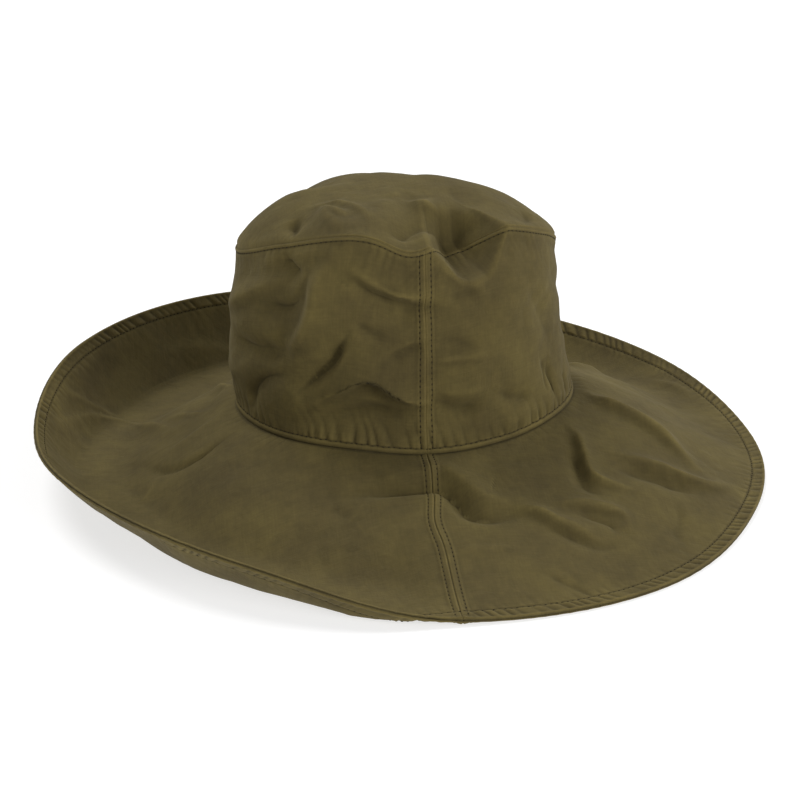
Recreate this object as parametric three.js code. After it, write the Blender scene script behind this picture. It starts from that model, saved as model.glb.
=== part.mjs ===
// A soft cotton wide-brim hat, resting on a table by its own brim.
// The crown has an oval tip and two side panels. The brim is two plies of two half rings each.
// The side seams lie in the plane X = 0, the head oval is longest along X, and +Z is up.
// The origin is the middle of the footprint, on the surface that the hat rests on.
import * as THREE from "three";

// Driving sizes, in millimetres.
const headLength = 200; // head opening along X, between the middles of the cloth
const headWidth = 172; // head opening along Y
const crownHeight = 120; // crown side panel, lower seam to tip seam
const tipHeight = 134; // middle of the tip above the crown's lower seam
const brimReach = 132; // brim, crown seam to edge, seen from above
const standHeight = 40; // crown's lower seam above the table
const crownCloth = 1.4; // wall of the crown
const brimPly = 1; // wall of one brim ply
const allowance = 3.4; // seam allowance that is stitched down beside each seam
const allowanceLift = 0.5; // how far the doubled cloth stands proud over an allowance
const allowanceEase = 1.4; // width over which the doubled cloth runs out
const hemWidth = 8; // brim edge to its row of stitches
const hemLift = 0.35; // how far each ply swells inside the hem
const seamGap = 0.36; // clearance where two panels meet
const pinch = 14; // inward push of the front dent
const tipBlunt = 0.2; // share of the tip over which its middle is rounded

const degree = Math.PI / 180;
const halfSteps = 32; // regular angular steps in one half of the hat

// Crown sections by angle from the front seam towards +X.
// lower: height of the lower seam over standHeight. waist, top: radius over the head oval's, halfway up
// and at the tip seam. rise: height of the tip seam over crownHeight. dome: fullness of the tip.
const crownSections = [
  { angle: 0, lower: 0.99, waist: 0.965, top: 0.89, rise: 0.99, dome: 1.3 },
  { angle: 30, lower: 1.03, waist: 0.96, top: 0.89, rise: 1.04, dome: 1.4 },
  { angle: 60, lower: 1.13, waist: 0.93, top: 0.875, rise: 0.945, dome: 1.5 },
  { angle: 90, lower: 1.13, waist: 0.925, top: 0.86, rise: 0.8, dome: 1.6 },
  { angle: 120, lower: 1.1, waist: 0.935, top: 0.865, rise: 0.75, dome: 1.5 },
  { angle: 150, lower: 1.05, waist: 0.96, top: 0.9, rise: 0.84, dome: 1.2 },
  { angle: 180, lower: 1.02, waist: 0.98, top: 0.92, rise: 0.91, dome: 1.3 },
  { angle: 210, lower: 1.02, waist: 0.985, top: 0.915, rise: 0.91, dome: 1.5 },
  { angle: 240, lower: 1.03, waist: 1.02, top: 0.95, rise: 0.8, dome: 1.8 },
  { angle: 270, lower: 1.03, waist: 1.02, top: 0.98, rise: 0.79, dome: 2.1 },
  { angle: 300, lower: 1.04, waist: 0.985, top: 0.9, rise: 0.92, dome: 1.9 },
  { angle: 330, lower: 1.05, waist: 0.98, top: 0.9, rise: 1.025, dome: 1.6 },
];

// Brim sections by angle. reach: over brimReach. bend: share of the reach where the brim turns.
// near, turn, edge: heights over standHeight at nearShare, at the bend and at the edge.
const nearShare = 0.32;
const brimSections = [
  { angle: 0, reach: 1.004, bend: 0.9, near: 0.69, turn: 0.09, edge: 0.045 },
  { angle: 30, reach: 0.98, bend: 0.74, near: 0.7, turn: 0.27, edge: 0.0 },
  { angle: 60, reach: 0.909, bend: 0.74, near: 0.84, turn: 0.32, edge: 0.03 },
  { angle: 90, reach: 0.875, bend: 0.74, near: 0.84, turn: 0.26, edge: 0.07 },
  { angle: 120, reach: 0.909, bend: 0.76, near: 0.74, turn: 0.14, edge: 0.38 },
  { angle: 150, reach: 0.97, bend: 0.78, near: 0.62, turn: 0.02, edge: 0.62 },
  { angle: 180, reach: 1.004, bend: 0.78, near: 0.58, turn: -0.03, edge: 0.9 },
  { angle: 210, reach: 0.993, bend: 0.78, near: 0.58, turn: -0.02, edge: 1.14 },
  { angle: 240, reach: 0.949, bend: 0.76, near: 0.54, turn: 0.0, edge: 1.12 },
  { angle: 270, reach: 0.905, bend: 0.77, near: 0.5, turn: 0.0, edge: 0.84 },
  { angle: 300, reach: 0.949, bend: 0.7, near: 0.52, turn: 0.01, edge: 0.92 },
  { angle: 330, reach: 0.993, bend: 0.79, near: 0.62, turn: -0.01, edge: 0.66 },
];

// Folds of the crown wall. Each runs from one angle and share of the wall's height to another.
// width: over crownHeight. lift: over crownHeight, outwards; a hollow is negative.
const wallFolds = [
  { fromAngle: -53, fromShare: 0.95, toAngle: -45, toShare: 0.68, width: 0.06, lift: -0.035 },
  { fromAngle: -84, fromShare: 0.8, toAngle: -42, toShare: 0.55, width: 0.1, lift: -0.05 },
  { fromAngle: -32, fromShare: 0.87, toAngle: 6, toShare: 0.74, width: 0.07, lift: -0.045 },
  { fromAngle: -30, fromShare: 0.5, toAngle: -45, toShare: 0.28, width: 0.07, lift: -0.035 },
  { fromAngle: -42, fromShare: 0.15, toAngle: -4, toShare: 0.2, width: 0.07, lift: -0.035 },
  { fromAngle: -26, fromShare: 0.36, toAngle: -1, toShare: 0.28, width: 0.05, lift: 0.02 },
  { fromAngle: -76, fromShare: 0.26, toAngle: -55, toShare: 0.12, width: 0.06, lift: -0.03 },
  { fromAngle: 24, fromShare: 0.82, toAngle: 34, toShare: 0.5, width: 0.09, lift: 0.025 },
  { fromAngle: 57, fromShare: 0.24, toAngle: 64, toShare: 0.08, width: 0.06, lift: -0.025 },
  { fromAngle: 118, fromShare: 0.55, toAngle: 146, toShare: 0.42, width: 0.1, lift: -0.04 },
  { fromAngle: -150, fromShare: 0.62, toAngle: -118, toShare: 0.5, width: 0.1, lift: -0.04 },
  { fromAngle: 170, fromShare: 0.8, toAngle: 200, toShare: 0.72, width: 0.09, lift: -0.035 },
];

// Folds of the tip, by angle and share of the way out from the tip's middle.
const tipFolds = [
  { fromAngle: -65, fromShare: 0.86, toAngle: -54, toShare: 1.0, width: 0.05, lift: -0.035 },
  { fromAngle: -62, fromShare: 0.7, toAngle: -33, toShare: 0.98, width: 0.05, lift: 0.025 },
  { fromAngle: -10, fromShare: 0.43, toAngle: 22, toShare: 0.88, width: 0.055, lift: 0.03 },
  { fromAngle: -12, fromShare: 0.9, toAngle: 12, toShare: 0.78, width: 0.07, lift: -0.035 },
  { fromAngle: 66, fromShare: 0.8, toAngle: 46, toShare: 0.98, width: 0.05, lift: -0.02 },
  { fromAngle: 160, fromShare: 0.3, toAngle: 200, toShare: 0.7, width: 0.12, lift: -0.03 },
];

// Folds of the brim, by angle and share of the reach. width and lift: over brimReach.
const brimFolds = [
  { fromAngle: 80, fromShare: 0.08, toAngle: 68, toShare: 0.68, width: 0.055, lift: 0.05 },
  { fromAngle: 57, fromShare: 0.42, toAngle: 63, toShare: 0.77, width: 0.05, lift: 0.03 },
  { fromAngle: 53, fromShare: 0.36, toAngle: 55, toShare: 0.78, width: 0.055, lift: -0.04 },
  { fromAngle: 60, fromShare: 0.12, toAngle: 38, toShare: 0.41, width: 0.055, lift: 0.03 },
  { fromAngle: 40, fromShare: 0.46, toAngle: 33, toShare: 0.7, width: 0.06, lift: -0.035 },
  { fromAngle: 4, fromShare: 0.16, toAngle: 27, toShare: 0.65, width: 0.05, lift: 0.035 },
  { fromAngle: -14, fromShare: 0.22, toAngle: 17, toShare: 0.42, width: 0.055, lift: -0.04 },
  { fromAngle: 112, fromShare: 0.17, toAngle: 113, toShare: 0.4, width: 0.06, lift: 0.025 },
  { fromAngle: -106, fromShare: 0.96, toAngle: -115, toShare: 0.75, width: 0.05, lift: -0.03 },
  { fromAngle: -111, fromShare: 0.68, toAngle: -96, toShare: 0.63, width: 0.07, lift: -0.025 },
  { fromAngle: -88, fromShare: 0.05, toAngle: -76, toShare: 0.42, width: 0.05, lift: 0.035 },
  { fromAngle: 150, fromShare: 0.15, toAngle: 158, toShare: 0.6, width: 0.07, lift: 0.035 },
  { fromAngle: -165, fromShare: 0.2, toAngle: -158, toShare: 0.65, width: 0.07, lift: 0.035 },
];

// The front dent, at the tip seam: the wall rolls over inwards and carries the seam with it.
// Lengths are over pinch.
const frontDent = { angle: 17, push: 1.3, drop: 0.95, across: 1.25, belowSeam: 0.85, aboveSeam: 1.6 };

// Value of a table's column at an angle in degrees, smooth all round.
function around(sections, column, angle) {
  const step = 360 / sections.length;
  const place = (((angle % 360) + 360) % 360) / step;
  const first = Math.floor(place);
  const share = place - first;
  const [a, b, c, d] = [-1, 0, 1, 2].map(
    (k) => sections[(first + k + sections.length) % sections.length][column],
  );
  return b + 0.5 * share * (c - a + share * (2 * a - 5 * b + 4 * c - d + share * (3 * (b - c) + d - a)));
}

// Smooth curve through the points (xs, ys), with no overshoot at the ends.
function through(xs, ys, x) {
  const last = xs.length - 1;
  let k = 0;
  while (k < last - 1 && x > xs[k + 1]) k += 1;
  const chord = (i) => (ys[i + 1] - ys[i]) / (xs[i + 1] - xs[i]);
  const slope = (i) => (i === 0 ? chord(0) : i === last ? chord(last - 1) : (chord(i - 1) + chord(i)) / 2);
  const width = xs[k + 1] - xs[k];
  const s = (x - xs[k]) / width;
  const s2 = s * s;
  const s3 = s2 * s;
  return (
    (2 * s3 - 3 * s2 + 1) * ys[k] +
    (s3 - 2 * s2 + s) * width * slope(k) +
    (3 * s2 - 2 * s3) * ys[k + 1] +
    (s3 - s2) * width * slope(k + 1)
  );
}

// Sum of the folds at a place in a flat chart. chart turns an angle and a share into that place.
function foldLift(folds, chart, size, x, y) {
  let lift = 0;
  for (const fold of folds) {
    const [x0, y0] = chart(fold.fromAngle, fold.fromShare);
    const [x1, y1] = chart(fold.toAngle, fold.toShare);
    const [dx, dy] = [x1 - x0, y1 - y0];
    const along = THREE.MathUtils.clamp(((x - x0) * dx + (y - y0) * dy) / (dx * dx + dy * dy), 0, 1);
    const away = Math.hypot(x - x0 - along * dx, y - y0 - along * dy) / (fold.width * size);
    lift += fold.lift * size * Math.exp(-away * away);
  }
  return lift;
}

// Head oval's radius and the direction from its middle at an angle in degrees.
function headRadius(angle) {
  const [s, c] = [Math.sin(angle * degree), Math.cos(angle * degree)];
  return 1 / Math.hypot(s / (headLength / 2), c / (headWidth / 2));
}

function outward(angle) {
  return new THREE.Vector3(Math.sin(angle * degree), -Math.cos(angle * degree), 0);
}

function lowerSeamHeight(angle) {
  return standHeight * around(crownSections, "lower", angle);
}

function wrapAngle(angle) {
  return ((((angle + 180) % 360) + 360) % 360) - 180;
}

// The wall's chart is its length along the head oval and its height.
const meanHeadRadius = (headLength + headWidth) / 4;
const wallChart = (angle, share) => [angle * degree * meanHeadRadius, share * crownHeight];

const tipRadius = (angle) => headRadius(angle) * around(crownSections, "top", angle);
const tipChart = (angle, share) => {
  const place = outward(angle).multiplyScalar(tipRadius(angle) * share);
  return [place.x, place.y];
};

// Shift of the front dent at a place: angle, and distance below (negative) or beyond the tip seam.
function dentShift(angle, beyondSeam) {
  const across = (wrapAngle(angle - frontDent.angle) * degree * tipRadius(angle)) / (frontDent.across * pinch);
  const along = beyondSeam / ((beyondSeam < 0 ? frontDent.belowSeam : frontDent.aboveSeam) * pinch);
  const share = Math.exp(-across * across - along * along);
  return outward(angle)
    .multiplyScalar(-frontDent.push * pinch * share)
    .setZ(-frontDent.drop * pinch * share);
}

// Middle of the crown's cloth. level 0 is the lower seam, 1 the tip seam and 2 the middle of the tip.
function crownPoint(angle, level) {
  const low = lowerSeamHeight(angle);
  const top = standHeight + crownHeight * around(crownSections, "rise", angle);
  const radius = headRadius(angle);
  const direction = outward(angle);
  if (level <= 1) {
    const shares = [1, around(crownSections, "waist", angle), around(crownSections, "top", angle)];
    const [x, y] = wallChart(wrapAngle(angle), level);
    const fade = Math.min(1, 6 * level) * Math.min(1, 6 * (1 - level));
    const lift = fade * foldLift(wallFolds, wallChart, crownHeight, x, y);
    return direction
      .clone()
      .multiplyScalar(radius * through([0, 0.5, 1], shares, level) + lift)
      .setZ(THREE.MathUtils.lerp(low, top, level))
      .add(dentShift(angle, (level - 1) * crownHeight));
  }
  const inside = level - 1;
  const dome = around(crownSections, "dome", angle);
  const outside = (Math.hypot(1 - inside, tipBlunt) - tipBlunt) / (Math.hypot(1, tipBlunt) - tipBlunt);
  const share = (1 - outside ** dome) ** (1.16 / dome);
  const place = direction.clone().multiplyScalar(tipRadius(angle) * (1 - inside));
  const fade = Math.min(1, 6 * inside);
  const lift = fade * foldLift(tipFolds, tipChart, crownHeight, place.x, place.y);
  return place
    .setZ(THREE.MathUtils.lerp(top, standHeight + tipHeight, share) + lift)
    .add(dentShift(angle, inside * tipRadius(angle)));
}

// Brim: the face where its two plies meet. share 0 is the inner face of the crown's wall, 1 the edge.
function brimRadius(angle, share) {
  const inner = headRadius(angle) - crownCloth / 2;
  return inner + share * (brimReach * around(brimSections, "reach", angle) + crownCloth / 2);
}

const brimChart = (angle, share) => {
  const place = outward(angle).multiplyScalar(brimRadius(angle, share));
  return [place.x, place.y];
};

function brimPoint(angle, share) {
  const seat = lowerSeamHeight(angle) - brimPly - allowanceLift - 1.2 * seamGap;
  const heights = ["near", "turn", "edge"].map((column) => standHeight * around(brimSections, column, angle));
  const shares = [0, nearShare, around(brimSections, "bend", angle), 1];
  const place = outward(angle).multiplyScalar(brimRadius(angle, share));
  const fade = Math.min(1, 5 * share) * Math.min(1, 1.6 - share);
  const lift = fade * foldLift(brimFolds, brimChart, brimReach, place.x, place.y);
  return place.setZ(Math.max(through(shares, [seat, ...heights], share) + lift, seamGap / 2 + brimPly));
}

// Unit normal of a surface: away from the head on the crown, and down towards the table on the brim.
function surfaceNormal(surface, angle, level, limit) {
  const [dAngle, dLevel] = [0.6, 0.012];
  const across = surface(angle + dAngle, level).sub(surface(angle - dAngle, level));
  const up = surface(angle, Math.min(limit, level + dLevel)).sub(surface(angle, Math.max(0, level - dLevel)));
  return across.cross(up).normalize();
}

// A closed wall around a grid of places, each with a point, a normal and its outer and inner offsets.
// Cloth that rests on the table lies flat on it.
// grid[row][column]. A ring joins its last column to its first, and a pole is one place at the last row.
function wallGeometry(grid, { ring = false, pole = null } = {}) {
  const rows = grid.length;
  const columns = grid[0].length;
  const positions = [];
  const triangles = [];
  const places = pole ? [...grid.flat(), pole] : grid.flat();
  for (const side of ["outer", "inner"]) {
    for (const place of places) {
      const point = place.normal.clone().multiplyScalar(place[side]).add(place.point);
      positions.push(point.x, point.y, Math.max(point.z, 0));
    }
  }
  const innerStart = places.length;
  const at = (row, column) => row * columns + (column % columns);
  const triangle = (a, b, c) => {
    triangles.push(a, b, c, innerStart + a, innerStart + c, innerStart + b);
  };
  // The strips that face each other across a seam are cut along the same diagonal.
  const startRim = (a, b) => {
    triangles.push(a, innerStart + a, innerStart + b, a, innerStart + b, b);
  };
  const endRim = (a, b) => {
    triangles.push(a, innerStart + a, b, b, innerStart + a, innerStart + b);
  };
  const spans = ring ? columns : columns - 1;
  for (let column = 0; column < spans; column += 1) {
    for (let row = 0; row < rows - 1; row += 1) {
      const [a, b, c, d] = [at(row, column), at(row, column + 1), at(row + 1, column + 1), at(row + 1, column)];
      triangle(a, b, c);
      triangle(a, c, d);
    }
    startRim(at(0, column), at(0, column + 1));
    if (pole) triangle(at(rows - 1, column), at(rows - 1, column + 1), places.length - 1);
    else endRim(at(rows - 1, column + 1), at(rows - 1, column));
  }
  if (!ring) {
    for (let row = 0; row < rows - 1; row += 1) {
      startRim(at(row + 1, 0), at(row, 0));
      endRim(at(row, columns - 1), at(row + 1, columns - 1));
    }
  }
  const geometry = new THREE.BufferGeometry();
  geometry.setAttribute("position", new THREE.Float32BufferAttribute(positions, 3));
  geometry.setIndex(triangles);
  geometry.computeVertexNormals();
  return geometry;
}

// How far the doubled cloth beside a seam stands proud, at a distance from the seam.
function allowanceAt(distance) {
  return allowanceLift * (1 - THREE.MathUtils.smoothstep(distance, allowance, allowance + allowanceEase));
}

// Columns of one half of the hat, from the front seam to the back one. Those beside a seam keep their
// distance from it in millimetres, and the others keep their angle. side is 1 for +X and -1 for -X.
function halfColumns(side) {
  const beside = [seamGap / 2, allowance, allowance + allowanceEase];
  const front = beside.map((offset) => ({ offset, seam: 0, side }));
  const back = beside.map((offset) => ({ offset, seam: 180, side: -side })).reverse();
  const regular = Array.from({ length: halfSteps - 1 }, (_, k) => ({
    seam: (side * 180 * (k + 1)) / halfSteps,
    side: 0,
    offset: 0,
  }));
  const columns = [...front, ...regular, ...back];
  return side > 0 ? columns : columns.reverse();
}

function columnAngle(column, radius) {
  return column.seam + (column.side * column.offset) / radius / degree;
}

// Panels that meet share the seam's own normals, so that their edges stay apart by the same clearance.
function normalAngle(column, radius) {
  return column.offset > seamGap ? columnAngle(column, radius) : column.seam;
}

// Distance from the nearer side seam, along the cloth.
function fromSideSeam(angle, radius) {
  const turn = Math.abs(wrapAngle(angle)) * degree;
  return Math.min(turn, Math.PI - turn) * radius;
}

function crownPlace(column, level) {
  const angle = columnAngle(column, meanHeadRadius);
  const normalLevel = Math.abs(level - 1) * headWidth < 2 * seamGap ? 1 : level;
  const seamDistance = Math.abs(level - 1) * (level < 1 ? crownHeight : tipRadius(angle));
  const lowerDistance = level * crownHeight;
  const sideDistance = level < 1 ? fromSideSeam(angle, headRadius(angle)) : Infinity;
  const lift = level < 1 ? allowanceAt(Math.min(seamDistance, lowerDistance, sideDistance)) : 0;
  return {
    point: crownPoint(angle, level),
    normal: surfaceNormal(crownPoint, normalAngle(column, meanHeadRadius), normalLevel, 2),
    outer: crownCloth / 2 + lift,
    inner: -crownCloth / 2,
  };
}

const wallLevels = [
  0,
  allowance / crownHeight,
  (allowance + allowanceEase) / crownHeight,
  0.17,
  0.32,
  0.47,
  0.62,
  0.75,
  0.87,
  1 - allowance / crownHeight,
  1 - seamGap / 2 / crownHeight,
];
const tipLevels = [1 + seamGap / 2 / (headWidth / 2), 1.1, 1.24, 1.4, 1.58, 1.78];

function crownSide(side) {
  const columns = halfColumns(side);
  const grid = wallLevels.map((level) => columns.map((column) => crownPlace(column, level)));
  return wallGeometry(grid);
}

function crownTip() {
  const columns = [...halfColumns(-1), ...halfColumns(1)];
  const grid = tipLevels.map((level) => columns.map((column) => crownPlace(column, level)));
  const pole = crownPlace({ seam: 0, side: 0, offset: 0 }, 2);
  pole.normal.set(0, 0, 1);
  return wallGeometry(grid, { ring: true, pole });
}

const hemShare = hemWidth / brimReach;
const hemEaseShare = allowanceEase / brimReach;
const brimLevels = [0, 0.14, 0.3, 0.46, 0.62, 0.75, 0.86, 1 - hemShare, 1 - hemShare + hemEaseShare, 1];

// One ply of one half of the brim. face is 1 for the ply on top and -1 for the one underneath.
function brimHalf(side, face) {
  const columns = halfColumns(side);
  const grid = brimLevels.map((share) =>
    columns.map((column) => {
      const radius = brimRadius(column.seam, share);
      const angle = columnAngle(column, radius);
      const lift = allowanceAt(fromSideSeam(angle, radius));
      const swell = share > 1 - hemShare ? hemLift : 0;
      const [near, far] = [seamGap / 2, seamGap / 2 + brimPly + Math.max(lift, swell)];
      return {
        point: brimPoint(angle, share),
        normal: surfaceNormal(brimPoint, normalAngle(column, radius), share, 1),
        outer: face > 0 ? -near : far,
        inner: face > 0 ? -far : near,
      };
    }),
  );
  return wallGeometry(grid);
}

const clothColour = new THREE.Color(0x5f5434);
const pieces = {
  crown_tip: crownTip(),
  crown_side_left: crownSide(-1),
  crown_side_right: crownSide(1),
  brim_top_left: brimHalf(-1, 1),
  brim_top_right: brimHalf(1, 1),
  brim_under_left: brimHalf(-1, -1),
  brim_under_right: brimHalf(1, -1),
};

const hat = new THREE.Group();
for (const [name, geometry] of Object.entries(pieces)) {
  const material = new THREE.MeshStandardMaterial({ color: clothColour, roughness: 0.9, metalness: 0 });
  const mesh = new THREE.Mesh(geometry, material);
  mesh.name = name;
  hat.add(mesh);
}

const bounds = new THREE.Box3().setFromObject(hat);
const middle = bounds.getCenter(new THREE.Vector3());
hat.position.set(-middle.x, -middle.y, -bounds.min.z);

const part = new THREE.Group();
part.add(hat);

export default part;
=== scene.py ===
from collections import namedtuple
from itertools import product

import bpy
import numpy as np
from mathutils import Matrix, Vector


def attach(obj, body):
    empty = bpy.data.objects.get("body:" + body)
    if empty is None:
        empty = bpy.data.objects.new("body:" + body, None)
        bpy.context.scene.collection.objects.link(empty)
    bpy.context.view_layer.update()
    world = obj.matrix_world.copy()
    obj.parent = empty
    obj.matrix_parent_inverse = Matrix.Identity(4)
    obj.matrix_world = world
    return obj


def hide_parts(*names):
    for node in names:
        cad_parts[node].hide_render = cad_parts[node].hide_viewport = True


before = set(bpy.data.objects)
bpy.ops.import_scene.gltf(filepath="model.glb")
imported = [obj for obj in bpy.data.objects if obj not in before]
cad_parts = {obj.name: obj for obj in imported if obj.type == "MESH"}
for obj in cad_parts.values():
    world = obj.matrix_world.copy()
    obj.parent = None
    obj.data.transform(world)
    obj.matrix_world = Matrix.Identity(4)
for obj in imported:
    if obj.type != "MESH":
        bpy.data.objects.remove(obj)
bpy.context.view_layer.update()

# Sizes of the hat, as in the model's source.
HEAD_LENGTH = 200.0
HEAD_WIDTH = 172.0
CROWN_HEIGHT = 120.0
TIP_HEIGHT = 134.0
TIP_BLUNT = 0.2
BRIM_REACH = 132.0
STAND_HEIGHT = 40.0
MIDDLE_X = 1.98  # head's middle, to the right of the footprint's
DEGREE = np.pi / 180
MEAN_RADIUS = (HEAD_LENGTH + HEAD_WIDTH) / 4

# Sizes of the cloth and its sewing.
CLOTH = 0.9  # crown panels
PLY = 0.7  # one ply of the brim
PLY_GAP = 0.14  # half the gap between the two plies
REST_LEVEL = 1.18  # middle of the brim above the table where it rests
REST_ROLL = 1.6  # how softly it comes down to the table
WALL_SEAT = 1.25  # wall's lower edge, below the height that the crown's table gives
BRIM_SEAT = 1.93  # brim's inner edge, below the same height
BRIM_TUCK = 0.7  # brim's inner edge, inside the head oval
BRIM_SETTLE = 1.2  # how far the brim's own weight lowers it beyond the crown
ALLOWANCE = 3.4  # seam to the row of stitches beside it
RIDGE = 2.9  # turned-up allowance round the crown's base
BASE_STITCHES = RIDGE + 0.25  # row of stitches above that ridge
TOP_STITCHES = 2.5  # row of stitches below the tip seam
HEM_WIDTH = 8.0
STITCH_PITCH = 3.1
STITCH_LENGTH = 0.52 * STITCH_PITCH
THREAD_WIDTH = 0.8  # real thread is 0.4 mm thick, too fine to show, so it is drawn at twice that

# Crown sections, every 30 degrees from the front seam towards +X.
CROWN = {
    "lower": (0.99, 1.03, 1.13, 1.13, 1.1, 1.05, 1.02, 1.02, 1.03, 1.03, 1.04, 1.05),
    "waist": (0.965, 0.96, 0.93, 0.912, 0.935, 0.96, 0.98, 0.985, 1.02, 1.02, 0.985, 0.98),
    "top": (0.89, 0.89, 0.88, 0.872, 0.87, 0.9, 0.92, 0.915, 0.945, 0.978, 0.9, 0.9),
    "rise": (0.99, 1.04, 0.945, 0.8, 0.75, 0.84, 0.91, 0.91, 0.8, 0.81, 0.935, 1.025),
    "dome": (1.3, 1.4, 1.68, 1.8, 1.48, 1.2, 1.3, 1.5, 1.75, 1.97, 1.88, 1.6),
}

# Brim sections, every 30 degrees from the front seam towards +X.
NEAR_SHARE = 0.32  # share of the reach at which the heights under "near" lie
FRONT_LEFT = (-12, 9)  # angle and width of the stretch beside the front seam that curls under
FRONT_REACH = 0.012  # how much further the brim reaches there
FRONT_CURL = 0.045  # how much nearer to the edge the bend lies there
BEND_ROLL = 0.09  # half the width of the soft roll at the bend
BRIM = {
    "reach": (1.026, 1.026, 0.906, 0.875, 0.909, 0.97, 1.004, 0.993, 0.949, 0.905, 0.949, 1.0),
    "bend": (0.93, 0.74, 0.74, 0.74, 0.76, 0.78, 0.78, 0.78, 0.76, 0.77, 0.68, 0.79),
    "near": (0.69, 0.7, 0.84, 0.84, 0.74, 0.62, 0.58, 0.58, 0.54, 0.5, 0.52, 0.62),
    "turn": (0.09, 0.27, 0.32, 0.26, 0.14, 0.02, -0.03, -0.02, 0.0, 0.0, 0.01, -0.01),
    "edge": (0.09, 0.0, 0.03, 0.07, 0.38, 0.62, 0.9, 1.14, 1.12, 0.84, 0.92, 0.7),
}

# A fold. path: its (angle, share) points. width, lift: in millimetres, a hollow is negative.
# crisp: 0 for a soft roll, 1 for a pressed crease. lean: how much wider it is on its right.
Fold = namedtuple("Fold", "path width lift crisp lean", defaults=(0.4, 0.0))

# Folds of the crown's wall, by angle and share of its height.
WALL_FOLDS = (
    Fold(((-60, 0.97), (-56, 0.9), (-47, 0.81)), 8, -4.9, 0.5, 0.3),
    Fold(((-54, 0.44), (-49, 0.49), (-44, 0.58), (-41, 0.7), (-40, 0.82), (-36, 0.9)),
         9, 6.8, 0.6, 0.35),
    Fold(((-92, 0.64), (-78, 0.73), (-65, 0.79), (-52, 0.8)), 9, 3.9, 0.5, -0.4),
    Fold(((-86, 0.5), (-72, 0.46), (-60, 0.45), (-48, 0.47)), 10, -5.6, 0.4, 0.3),
    Fold(((-66, 0.7), (-55, 0.68), (-47, 0.72)), 7, -3.7, 0.7, 0.3),
    Fold(((-33, 0.88), (-25, 0.84), (-17, 0.8), (-8, 0.79), (1, 0.79)), 6, 3.9, 0.6, -0.3),
    Fold(((-30, 0.8), (-21, 0.745), (-9, 0.72), (-2, 0.72), (8, 0.69)), 6.5, -5.6, 0.5, 0.3),
    Fold(((-30, 0.54), (-33, 0.48), (-37, 0.4), (-42, 0.34), (-48, 0.26)), 5, -6.6, 0.8, 0.3),
    Fold(((-16, 0.44), (-9, 0.5), (0, 0.55)), 4.5, -2.7, 0.8, 0.4),
    Fold(((3, 0.26), (-5, 0.27), (-12, 0.3), (-18, 0.34), (-24, 0.34), (-32, 0.28), (-44, 0.2)),
         7, 7.6, 0.7, 0.45),
    Fold(((-52, 0.06), (-40, 0.1), (-28, 0.15), (-15, 0.18), (-2, 0.18)), 9, -7.6, 0.5, 0.3),
    Fold(((-71, 0.02), (-72, 0.12), (-72, 0.2), (-65, 0.29), (-54, 0.33)), 5.5, -4.4, 0.7, 0.3),
    Fold(((-28, 0.62), (-22, 0.57), (-14, 0.55)), 5, -2.4, 0.7),
    Fold(((0, 0.46), (13, 0.45), (27, 0.43)), 4.5, 2.2, 0.9, -0.4),
    Fold(((4, 0.54), (14, 0.51), (23, 0.45)), 6, -2.2, 0.5, 0.3),
    Fold(((4, 0.93), (13, 0.84), (21, 0.76), (27, 0.68)), 6, 2.2, 0.6, -0.3),
    Fold(((8, 0.74), (16, 0.73), (24, 0.74)), 5, -2.2, 0.6),
    Fold(((0, 0.27), (12, 0.2), (24, 0.17)), 7, -3.9, 0.5, 0.3),
    Fold(((2, 0.32), (14, 0.28), (26, 0.27)), 5, 1.8, 0.7, -0.3),
    Fold(((28, 0.24), (36, 0.19), (45, 0.16)), 5, -2.2, 0.7),
    Fold(((57, 0.3), (58, 0.18), (58.5, 0.1), (60, 0.03)), 3.2, -3.0, 0.7),
    Fold(((68, 0.2), (69.5, 0.1), (69, 0.03)), 3, -2.6, 0.7),
    Fold(((52, 0.34), (55, 0.25), (53, 0.14)), 4, -2.0, 0.8),
    Fold(((46, 0.7), (56, 0.5), (62, 0.34)), 9, -1.6, 0.5),
    Fold(((84, 0.66), (100, 0.52), (112, 0.34)), 11, -3.6, 0.5, 0.3),
    Fold(((118, 0.6), (132, 0.48), (146, 0.42)), 12, -4.6, 0.4, 0.3),
    Fold(((128, 0.22), (146, 0.18), (160, 0.24)), 8, -3.0, 0.5, 0.3),
    Fold(((150, 0.78), (160, 0.62), (164, 0.44)), 9, 3.2, 0.6, 0.3),
    Fold(((-150, 0.64), (-134, 0.56), (-118, 0.5)), 12, -4.8, 0.4, 0.3),
    Fold(((-160, 0.3), (-146, 0.24), (-126, 0.28)), 9, -3.2, 0.5, 0.3),
    Fold(((-112, 0.36), (-104, 0.26), (-92, 0.2)), 8, -3.0, 0.6, 0.3),
    Fold(((-128, 0.88), (-116, 0.76), (-100, 0.7)), 9, -3.0, 0.5, 0.3),
    Fold(((170, 0.82), (184, 0.74), (200, 0.7)), 11, -4.0, 0.4, 0.3),
)

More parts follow.
